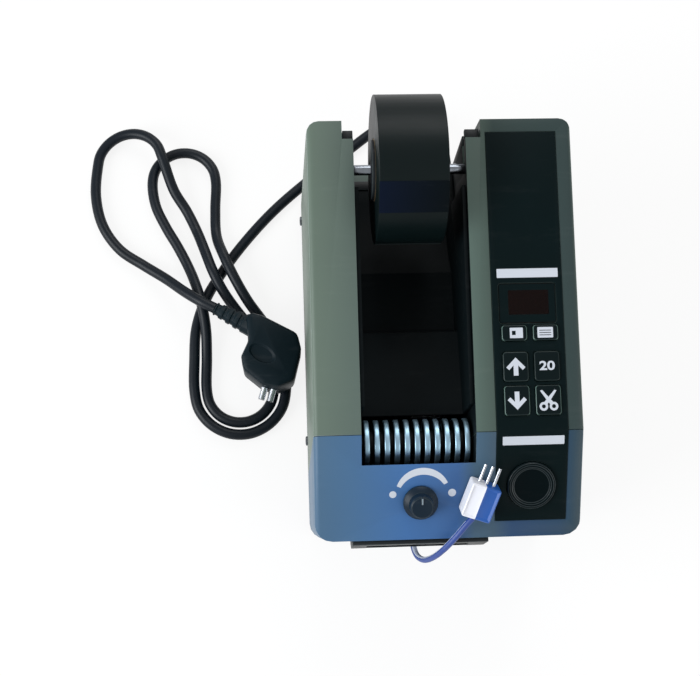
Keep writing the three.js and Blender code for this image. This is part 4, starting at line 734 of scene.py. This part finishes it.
for name, face, high, y in (("upper_strip", upper_face, 4.3, -74.9), ("lower_strip", lower_face, 4.2, -4.7)):
    strip = ink_shape(name, [oblong(STRIP_WIDE, high, corner=0.3)])
    ink_on(strip, "control_panel", face, STRIP_X, y)
print("panel printed")

# %% [markdown]
# Six keys stand a little proud of the sheet. Each is a soft plastic cap with rounded edges, and its rim is
# a painted highlight. On the small keys and the lower pair the side faces are painted pale, a painted
# highlight; on the middle pair they stay dark.

# %% Keys
key_face = moulded("key_face", (5, 18, 20), roughness=0.4, drift=0.15, grain=1800, shine=0.1, rubbed=0.008)
# The key rim colour is a painted highlight along the bevel.
key_rim_painted_highlight = moulded("key_rim_painted_highlight", (26, 40, 40), roughness=0.36, drift=0.15, shine=0.3)
key_painted_highlight = moulded("key_side_painted_highlight", (74, 98, 92), roughness=0.34, drift=0.15, shine=0.45)
COLUMNS = (32.0, 46.8)
SMALL_ROW, MIDDLE_ROW, LOWER_ROW = 103.4, 119.3, 135.2
ROWS = {
    SMALL_ROW: ("key_stop_left", "key_stop_right"), MIDDLE_ROW: ("key_length_up", "key_preset"),
    LOWER_ROW: ("key_length_down", "key_cut"),
}
KEYS = {name: (x, run) for run, names in ROWS.items() for name, x in zip(names, COLUMNS)}
for name, (_, run) in KEYS.items():
    key = dress(name, key_face, edge=0.45, segments=3, rubbed=key_rim_painted_highlight)
    # Painted highlight on the side faces of the small keys and the lower pair.
    if run != MIDDLE_ROW:
        second_finish(key, key_painted_highlight, lambda at, look: 0.2 < abs(look.x) < 0.98)
print("keys dressed:", len(KEYS))

# %% [markdown]
# The keys carry their signs: arrows for a longer or shorter piece, a round number for the stored length,
# scissors for the cut. An arrow is one outline and the number is text, each made a mesh. The scissors are
# two blades and two rings joined. A sign rides with its key when the key is pressed.

# %% Signs of the keys
def ring(radius, steps, x=0, y=0):
    return [(x + radius * math.cos(2 * math.pi * i / steps), y + radius * math.sin(2 * math.pi * i / steps))
            for i in range(steps)]


def sign_on(piece, key, turn=0, x=0):
    place_x, run = KEYS[key]
    return ink_on(piece, key, upper_face, place_x + x, -run, turn)


ARROW = [(0, 4.3), (4.5, -0.3), (3.2, -1.6), (1.1, 0.6), (1.1, -4.2), (-1.1, -4.2), (-1.1, 0.6), (-3.2, -1.6),
         (-4.5, -0.3)]
sign_on(ink_shape("arrow_longer", [ARROW]), "key_length_up")
sign_on(ink_shape("arrow_shorter", [ARROW]), "key_length_down", turn=math.pi)


def number_sign():
    bpy.ops.object.text_add()
    number = bpy.context.object
    number.data.body = "20"
    number.data.size = 5.8 * MM
    number.data.offset = 0.16 * MM
    number.data.extrude = 0.05 * MM
    number.data.align_x = "CENTER"
    number.data.align_y = "CENTER"
    bpy.ops.object.convert(target="MESH")
    number = close_shape(bpy.context.object)
    number.name = "stored_length_sign"
    wide, high = 7.3 * MM, 4.4 * MM
    number.scale = (wide / number.dimensions.x, high / number.dimensions.y, 1)
    return settle(number)


BLADE = [(-3.9, 4.4), (-2.9, 4.7), (2.3, -1.2), (0.9, -2.3), (-0.6, -0.5)]
GRIP_X, GRIP_Y = 2.4, -3.0


def scissors_sign():
    """Each part has a thickness of its own, so that no two top faces lie in one plane."""
    mirrored = [(-x, y) for x, y in BLADE]
    parts = [ink_shape("scissors_sign", [BLADE]), ink_shape("second_blade", [mirrored], 0.06)]
    for x in (-GRIP_X, GRIP_X):
        parts.append(ink_shape("grip", [ring(2.05, 20, x, GRIP_Y), ring(0.95, 16, x, GRIP_Y)], 0.055))
    choose(*parts)
    bpy.ops.object.join()
    return settle(bpy.context.object)


sign_on(number_sign(), "key_preset")
sign_on(scissors_sign(), "key_cut")
left_label = [oblong(6.2, 4.9, corner=0.3), oblong(1.8, 2.0, -1.2, 0)]
right_label = [oblong(7.4, 5.0, corner=0.3)] + [oblong(5.6, 0.35, 0, y) for y in (1.0, -0.1, -1.2)]
sign_on(ink_shape("left_label", left_label), "key_stop_left", x=0.9)
sign_on(ink_shape("right_label", right_label), "key_stop_right", x=-0.2)
print("signs laid on", len(KEYS), "keys")

# %% [markdown]
# Behind the dark red window sits a display of three digits. Each digit is seven bars. When it is off, the
# bars are just a shade paler than their carrier, and the window lets a little of that through. One bar is a
# short six-cornered shape, and the digits are bars laid at their seven places.

# %% Display
DISPLAY_PLACE = (38.9, -89.2)


def tinted_window():
    material, shader, coordinates = new_material("display_tint")
    cloud = add_noise(coordinates, 40, 3)
    wire(add_ramp(cloud, [(0.3, linear((52, 33, 31))), (0.7, linear((60, 36, 33)))]), shader, "Base Color")
    for name, value in (("Transmission Weight", 0.9), ("Specular IOR Level", 0.2), ("IOR", 1.2)):
        shader.inputs[name].default_value = value
    wave = add_noise(coordinates, 120, 3)
    wire(add_range(wave, 0.08, 0.16), shader, "Roughness")
    add_bump(shader, wave, 0.08, SCRATCH_HEIGHT)
    return material


dress("display_window", tinted_window(), edge=0.15)
digit_pale = moulded("digit_bars", (150, 112, 104), roughness=0.5, drift=0.1, grain=1500)
module_black = moulded("display_carrier", (22, 22, 24), roughness=0.55, drift=0.15, shine=0.2, rubbed=0.01)
dress("display_module", module_black, edge=0.2)
MASK = [oblong(26.6, 18.4, corner=0.6), oblong(19.2, 11.6, 0.6, 0.4, corner=0.4)]
ink_on(ink_shape("window_mask", MASK, 0.04), "display_window", upper_face, *DISPLAY_PLACE,
       material=panel_print, slot="panel_dark")
BAR = [(-1.3, 0), (-1.0, 0.32), (1.0, 0.32), (1.3, 0), (1.0, -0.32), (-1.0, -0.32)]
DIGIT = [(0, 2.9, False), (0, 0, False), (0, -2.9, False), (-1.45, 1.45, True), (1.45, 1.45, True),
         (-1.45, -1.45, True), (1.45, -1.45, True)]


def digit(x):
    outlines = []
    for bar_x, bar_y, upright in DIGIT:
        outlines.append([(x + bar_x + (-v if upright else u), bar_y + (u if upright else v)) for u, v in BAR])
    return outlines


DIGIT_STEP = 6
digits = ink_shape("unlit_digits", digit(-DIGIT_STEP) + digit(0) + digit(DIGIT_STEP), 0.08)
ink_on(digits, "display_module", upper_face, *DISPLAY_PLACE, material=digit_pale, slot="window_red")
print("unlit digits have", len(digits.data.polygons), "faces")

# %% [markdown]
# The start button is a broad black disc with a raised rim, and only the painted highlight on its rim tells it
# from the panel. The knob turns in front of a printed scale: a band that swells from thin to thick, with a
# dot at each end. The knob has a line on top that points at the scale, and it rides with the knob.

# %% Start button, knob and scale
button_black = moulded("button_black", (2, 12, 15), roughness=0.42, drift=0.15, shine=0.05, rubbed=0.004)
# Painted highlight on the button's rim.
button_rim_painted_highlight = moulded("button_rim_painted_highlight", (22, 36, 40), roughness=0.32, drift=0.15, shine=0.4)
knob_black = moulded("knob_black", (10, 28, 42), roughness=0.36, drift=0.15, depth=0.3, shine=0.22,
                     rubbed=0.02)
knob_mark = moulded("knob_mark", (118, 132, 142), roughness=0.5, drift=0.1)
dress("start_button", button_black, edge=0.3, segments=3, angle=20, rubbed=button_rim_painted_highlight)
dress("speed_knob", knob_black, edge=0.3, segments=3, rubbed=black_edge_wear_and_highlight)


BAND_STEPS = 26
BAND_RADIUS = 12.4
BAND_START, BAND_SPAN = 157, 128


def scale_band():
    outer, inner = [], []
    for i in range(BAND_STEPS + 1):
        share = i / BAND_STEPS
        angle = math.radians(BAND_START - BAND_SPAN * share)
        swell = 0.7 + math.sin(math.pi * (0.1 + 0.8 * share))
        outer.append(((BAND_RADIUS + swell) * math.cos(angle), (BAND_RADIUS + swell) * math.sin(angle)))
        inner.append(((BAND_RADIUS - swell) * math.cos(angle), (BAND_RADIUS - swell) * math.sin(angle)))
    return outer + inner[::-1]


SCALE_PRINTS = [
    ("scale_band", scale_band(), -12.4, -31.0), ("scale_low_dot", ring(1.7, 20), -26.6, -29.8),
    ("scale_high_dot", ring(1.9, 20), 1.4, -29.6),
]
for name, outline, x, y in SCALE_PRINTS:
    ink_on(ink_shape(name, [outline]), "front_cover", lower_face, x, y)
ink_on(ink_shape("knob_line", [oblong(0.7, 3.0, corner=0.2)], 0.06), "speed_knob", lower_face, -13.5, -30.6,
       material=knob_mark)
print("scale printed round the knob")

# %% [markdown]
# Inside, the steel plates and motors are brushed or plated, the gears are white plastic and the boards green
# with dark parts on them. They are seen only through the gaps, yet each has the finish of the real thing.

# %% Metals, rubber and boards
steel = metal("brushed_steel", (150, 154, 158), roughness=0.36)
dark_steel = metal("painted_steel", (34, 38, 42), roughness=0.55, stretch=(1, 6, 6))
chrome = metal("polished_rod", (150, 156, 164), roughness=0.2, stretch=(4, 1, 1), depth=0.06)
blade_steel = metal("blade_steel", (188, 192, 198), roughness=0.22, stretch=(30, 1, 1))
rubber = moulded("black_rubber", (20, 21, 22), roughness=0.75, drift=0.15, grain=500, depth=0.5, shine=0.3,
                 rubbed=0.01)
gear_white = moulded("gear_white", (206, 206, 198), roughness=0.45, drift=0.05)
board_green = moulded("board_green", (26, 70, 42), roughness=0.36, drift=0.15, grain=300)
part_dark = moulded("board_parts", (24, 25, 27), roughness=0.45, drift=0.2)
BRACKETS = ["left_bearing_plate", "right_bearing_plate", "motor_bracket", "blade_carrier", "potentiometer"]
MECHANISM = [
    (["base_plate"], dark_steel, 0.2, "steel"), (BRACKETS, steel, 0.2, "steel"),
    (["feed_motor", "cutter_motor"], steel, 0.3, "steel"),
    (["fixed_blade", "moving_blade"], blade_steel, 0.08, "steel"),
    (["foot_1", "foot_2", "foot_3", "foot_4", "pinch_roller"], rubber, 0.3, "rubber_black"),
    (["tape_chute"], dark_steel, 0.15, "steel"),
]
for names, material, edge, slot in MECHANISM:
    for name in names:
        dress(name, material, edge=edge)
paint(gear_white, "feed_gear", "idler_gear", "motor_pinion", "cutter_pinion")
print("mechanism dressed")

# %% [markdown]
# A circuit board is a green sheet with dark parts soldered onto it. The parts of the main board belong to the
# same solid, so the faces that lie above the sheet take the darker finish. The supply is a plain steel case.

# %% Boards and supply
SHEET_TOP = 0.0158
for name in ("main_board", "panel_board", "button_switch"):
    board = dress(name, board_green, edge=0)
    if name == "main_board":
        parts = second_finish(board, part_dark, lambda at, look: at.z > SHEET_TOP)
        print("faces of the main board's parts:", parts)
dress("power_supply", steel, edge=0.4)

# %% [markdown]
# The feed roller is turned from one bar: thin tall rings on a slim core, so that sticky tape touches as
# little as possible. The rings are satin metal and catch the light, and their blue tint is a painted
# reflection. The core between them is painted dark, a painted shade between the rings. Faces far from the
# roller's axis belong to the rings.

# %% Feed roller, shaft and rod
# The blue tint of the rings is a painted reflection.
roller_rings_painted_blue_reflection = metal("roller_rings", (172, 208, 228), roughness=0.4, stretch=(60, 1, 1), depth=0.1)
# The dark core is painted shade between the rings.
roller_core_painted_shade = moulded("roller_core_painted_shade", (12, 18, 22), roughness=0.55, drift=0.2, shine=0.2, rubbed=0.01)
ROLLER_AXIS = (-0.05849, 0.10402)
CORE_RADIUS = 0.0062
roller = dress("feed_roller", roller_core_painted_shade, edge=0.3, angle=40)


def off_axis(at):
    return math.hypot(at.y - ROLLER_AXIS[0], at.z - ROLLER_AXIS[1])


rings = second_finish(roller, roller_rings_painted_blue_reflection, lambda at, look: off_axis(at) > CORE_RADIUS)
dress("roll_rod", chrome, edge=0.5, segments=3)
dress("feed_shaft", chrome, edge=0.4)
print("faces of the rings:", rings)

# %% [markdown]
# The roll is hundreds of turns of tape. From the side its turns show as very fine rings, and its outer face
# is smooth and slightly uneven. The rings are a wave texture of distance from the roll's axis, brought to the
# rod's place by a mapping.

# %% Roll of tape
ROD = Vector((0, 0.06913, 0.13398))


def wound(name, colour, turns_apart, roughness, shine):
    material, shader, coordinates = new_material(name)
    shader.inputs["Specular IOR Level"].default_value = shine
    mapping = fed_by(coordinates.outputs["Object"], "ShaderNodeMapping", "Vector")
    mapping.inputs["Location"].default_value = (0, -ROD.y, -ROD.z)
    turns = fed_by(mapping.outputs["Vector"], "ShaderNodeTexWave", "Vector")
    turns.wave_type = "RINGS"
    turns.rings_direction = "X"
    turns.inputs["Scale"].default_value = 2 * math.pi / (20 * turns_apart)
    turns.inputs["Distortion"].default_value = 0.6
    turns.inputs["Detail"].default_value = 2
    cloud = add_noise(coordinates, 26, 4, 0.6, (0.4, 1, 1))
    lines = add_ramp(turns.outputs["Fac"], [(0.2, (0.6, 0.6, 0.6)), (0.8, (1, 1, 1))])
    wire(add_mix("MULTIPLY", 0.7, drifting(cloud, colour, 0.12), lines), shader, "Base Color")
    ripple = add_noise(coordinates, 90, 3, 0.5, (0.3, 1, 1))
    wire(add_range(ripple, roughness - 0.08, roughness + 0.1), shader, "Roughness")
    first = add_bump(shader, ripple, 0.3, 0.0002)
    second = add_bump(shader, turns.outputs["Fac"], 0.3, 0.00008)
    wire(first.outputs["Normal"], second, "Normal")
    return material


tape_dark = wound("tape_turns", (8, 21, 22), 0.0005, 0.4, 0.15)
card = wound("core_card", (124, 104, 74), 0.0004, 0.8, 0.3)
hub_plastic = moulded("hub_plastic", (26, 30, 34), roughness=0.45, drift=0.15, shine=0.3, rubbed=0.02)
dress("tape_roll", tape_dark, edge=0.25, angle=25)
dress("tape_core", card, edge=0.15)
for name in ("hub_left", "hub_right"):
    dress(name, hub_plastic, edge=0.25, rubbed=black_edge_wear_and_highlight)
print("roll, core and hubs dressed")

# %% [markdown]
# The free end is a short flap of the same tape. A thin oblong is spun part of the way round the roll, so that
# it hugs the last turn, and its far edge is then pulled out twice into a small lip.

# %% Free end of the tape
END_WIDE, END_THICK = 0.0322, 0.00022
END_RADIUS = 0.0361
END_MIDDLE_X = -0.0152
END_START = math.radians(30)
END_SPAN = math.radians(21)
LIP_LONG = 0.0016
LIP_DROP = math.radians(45)
# Painted blue reflection on the free end, strongest at its left, fading to the tape's dark on the right.
END_PAINTED_REFLECTION_SWEEP = [(-0.0313, (8, 18, 36)), (-0.015, (6, 15, 26)), (0.0009, (4, 12, 16))]


def free_end():
    centre = ROD + Vector((0, 0.0003, -0.0004))
    spoke = Vector((0, -math.sin(END_START), math.cos(END_START)))
    place = centre + spoke * END_RADIUS + Vector((END_MIDDLE_X, 0, 0))
    bpy.ops.mesh.primitive_plane_add(size=1, location=place, rotation=(math.pi / 2 + END_START, 0, 0))
    end = bpy.context.object
    end.name = "free_end_of_tape"
    end.scale = (END_WIDE, END_THICK, 1)
    settle(end)
    open_mesh(end)
    bpy.ops.mesh.spin(steps=12, angle=-END_SPAN, center=centre, axis=(1, 0, 0))
    way = Vector((0, -math.cos(LIP_DROP), -math.sin(LIP_DROP)))
    for share in (0.4, 1.0):
        bpy.ops.mesh.extrude_region_move(TRANSFORM_OT_translate={"value": way * LIP_LONG * share})
    close_mesh()
    close_shape(end)
    smooth(30)
    give(end, moulded("tape_free_end", roughness=0.34, drift=0.2, shine=0.07, rubbed=0.012, sweep=END_PAINTED_REFLECTION_SWEEP))
    return carry(end, "tape")


end = free_end()
end_low = min((v.co for v in end.data.vertices), key=lambda spot: spot.z)
print("the tape's free end comes down to y", round(end_low.y, 4), "z", round(end_low.z, 4))

# %% [markdown]
# At the back are the mains switch and the cord's gland. The switch has a bar for on and a ring for off on
# its rocker, and they tilt with it.

# %% Switch marks
dress("power_rocker", black_plastic, edge=0.5, segments=3, rubbed=black_edge_wear_and_highlight)
SWITCH_X = 22
SWITCH_MARKS = [
    ("on_bar", [oblong(0.9, 4.0, corner=0.2)], 33.0), ("off_ring", [ring(2.2, 24), ring(1.5, 24)], 23.0),
]
for name, outlines, height in SWITCH_MARKS:
    up_the_wall = (height - PLATE_TOP / MM) / math.cos(REAR_LEAN)
    ink_on(ink_shape(name, outlines, 0.06), "power_rocker", rear_face, SWITCH_X, up_the_wall)
print("rocker marked")

# %% [markdown]
# Four screws hold the rear cover, eight the base plate and two each side wall. A screw is a low domed disc
# with a cross cut out of it. It is made once, and each copy has a mesh of its own.

# %% Screws
HEAD_RADIUS, HEAD_HIGH = 2.6, 0.9
SLOT_LONG, SLOT_WIDE = 2.7, 0.5


def cross_screw():
    bpy.ops.mesh.primitive_cylinder_add(vertices=24, radius=HEAD_RADIUS * MM, depth=HEAD_HIGH * MM,
                                        location=(0, 0, 0.35 * MM))
    head = bpy.context.object
    head.name = "cross_screw"
    open_mesh(head)
    bpy.ops.mesh.select_mode(type="FACE")
    select_faces(head, lambda at, look: look.z > 0.9)
    bpy.ops.mesh.inset(thickness=0.4 * MM)
    bpy.ops.transform.translate(value=(0, 0, 0.25 * MM))
    bpy.ops.mesh.inset(thickness=0.8 * MM)
    bpy.ops.transform.translate(value=(0, 0, 0.12 * MM))
    close_mesh()
    settle(head)
    cutters = []
    for wide, long in ((SLOT_WIDE, SLOT_LONG), (SLOT_LONG, SLOT_WIDE)):
        bpy.ops.mesh.primitive_cube_add(size=1, location=(0, 0, 1.1 * MM))
        cutter = bpy.context.object
        cutter.scale = (wide * MM, long * MM, 1.2 * MM)
        cutters.append(settle(cutter))
    for cutter in cutters:
        cross = head.modifiers.new("cross", "BOOLEAN")
        cross.operation = "DIFFERENCE"
        cross.object = cutter
        finish_modifiers(head)
    for cutter in cutters:
        bpy.data.objects.remove(cutter)
    choose(head)
    smooth(30)
    return head


def side_face(side):
    turned = Matrix.Rotation(side * math.pi / 2, 4, "Z") @ Matrix.Rotation(math.pi / 2, 4, "X")
    return Matrix.Translation((side * HALF_WIDTH, 0, 0)) @ turned


left_face, right_face = side_face(-1), side_face(1)
screw_steel = metal("screw_steel", (120, 124, 130), roughness=0.35, stretch=(8, 8, 8))
model_screw = cross_screw()
SCREWS = [("rear_cover", rear_face, x, y) for x in (-8.5, 37.2) for y in (6.5, 40.0)]
SCREWS += [("base_plate", under_face, x, y) for x in (-57.5, 57.5) for y in (-60, 0, 60)]
SCREWS += [("base_plate", under_face, x, 88) for x in (-20, 24)]
SCREWS += [("left_housing", left_face, y, 9) for y in (-88, 40)]
SCREWS += [("right_housing", right_face, y, 9) for y in (-40, 88)]
for i, (node, face, x, y) in enumerate(SCREWS):
    screw = model_screw.copy()
    screw.data = model_screw.data.copy()
    screw.name = "screw_" + str(i + 1)
    scene.collection.objects.link(screw)
    lay_on(screw, seat_on(node, face, x, y, turn=0.4 * i))
    give(screw, screw_steel)
    carry(screw, "case")
bpy.data.objects.remove(model_screw)
print("screws set:", len(SCREWS))

# %% [markdown]
# The studio is a wide pale floor under soft lights. The floor shows white to the camera and to shiny
# surfaces, and yet catches the shadow. It doesn't glow under the dispenser itself, because that would shine
# up through the vents, where the real thing is dark.

# %% Floor
FOOTPRINT_HALF_WIDE, FOOTPRINT_HALF_LONG, FOOTPRINT_Y = 0.0585, 0.094, 0.006
FLOOR_GLOW = 0.85
SOFT_FROM = 0.96


def add_math(operation, first, second=None):
    step = fed_by(first, "ShaderNodeMath", 0)
    step.operation = operation
    if isinstance(second, (int, float)):
        step.inputs[1].default_value = second
    elif second:
        wire(second, step, 1)
    return step.outputs[0]


def open_floor(tree):
    """Nought under the dispenser and the glow's strength round it, with a soft edge."""
    place = place_of(tree.nodes.new("ShaderNodeTexCoord"))
    across = add_math("DIVIDE", add_math("ABSOLUTE", place["X"]), FOOTPRINT_HALF_WIDE)
    along = add_math("ABSOLUTE", add_math("SUBTRACT", place["Y"], FOOTPRINT_Y))
    reach = add_math("MAXIMUM", across, add_math("DIVIDE", along, FOOTPRINT_HALF_LONG))
    return add_range(reach, 0, FLOOR_GLOW, SOFT_FROM, 1)


def pale_floor():
    bpy.ops.mesh.primitive_plane_add(size=6, location=(0, 0, 0))
    floor = settle(bpy.context.object)
    floor.name = "studio_floor"
    material = bpy.data.materials.new("studio_floor")
    material.use_nodes = True
    tree = material.node_tree
    tree.nodes.clear()
    output = tree.nodes.new("ShaderNodeOutputMaterial")
    mix = tree.nodes.new("ShaderNodeMixShader")
    paper = tree.nodes.new("ShaderNodeBsdfDiffuse")
    paper.inputs["Color"].default_value = (0.9, 0.9, 0.9, 1)
    glow = tree.nodes.new("ShaderNodeEmission")
    path = tree.nodes.new("ShaderNodeLightPath")
    seen = add_math("MAXIMUM", path.outputs["Is Camera Ray"], path.outputs["Is Glossy Ray"])
    seen = add_math("MAXIMUM", seen, path.outputs["Is Transmission Ray"])
    wire(add_math("MULTIPLY", seen, open_floor(tree)), mix, 0)
    wire(paper.outputs[0], mix, 1)
    wire(glow.outputs[0], mix, 2)
    wire(mix.outputs[0], output, "Surface")
    give(floor, material)
    return floor


floor = pale_floor()
print("floor laid:", floor.name)

# %% [markdown]
# The light in the photograph is soft and comes mostly from the left. Three square lamps do it: a strong one
# on the left, a weak one on the right to open the shadows, and one high behind. The world adds an even glow,
# and is white where the camera looks past the floor.

# %% Lights
LAMPS_AIM = Vector((0, 0, 0.08))


def soft_lamp(name, place, size, power, colour=(1, 1, 1)):
    data = bpy.data.lights.new(name, "AREA")
    data.shape = "SQUARE"
    data.size = size
    data.energy = power
    data.color = colour
    lamp = bpy.data.objects.new(name, data)
    scene.collection.objects.link(lamp)
    lamp.location = place
    lamp.rotation_euler = (LAMPS_AIM - Vector(place)).to_track_quat("-Z", "Y").to_euler()
    return lamp


soft_lamp("window_left", (-1.2, -0.35, 0.75), size=0.9, power=18, colour=(0.95, 0.98, 1))
soft_lamp("fill_right", (1.0, -0.7, 0.8), size=1.0, power=5)
soft_lamp("rear_high", (0.2, 1.1, 1.0), size=0.8, power=7)
world = bpy.data.worlds.new("studio_air")
scene.world = world
world.use_nodes = True
air = world.node_tree
air.nodes["Background"].inputs["Color"].default_value = (1, 1, 1, 1)
WORLD_GLOW = 0.55
seen = air.nodes.new("ShaderNodeLightPath")
wire(add_range(seen.outputs["Is Camera Ray"], WORLD_GLOW, 1), air.nodes["Background"], "Strength")
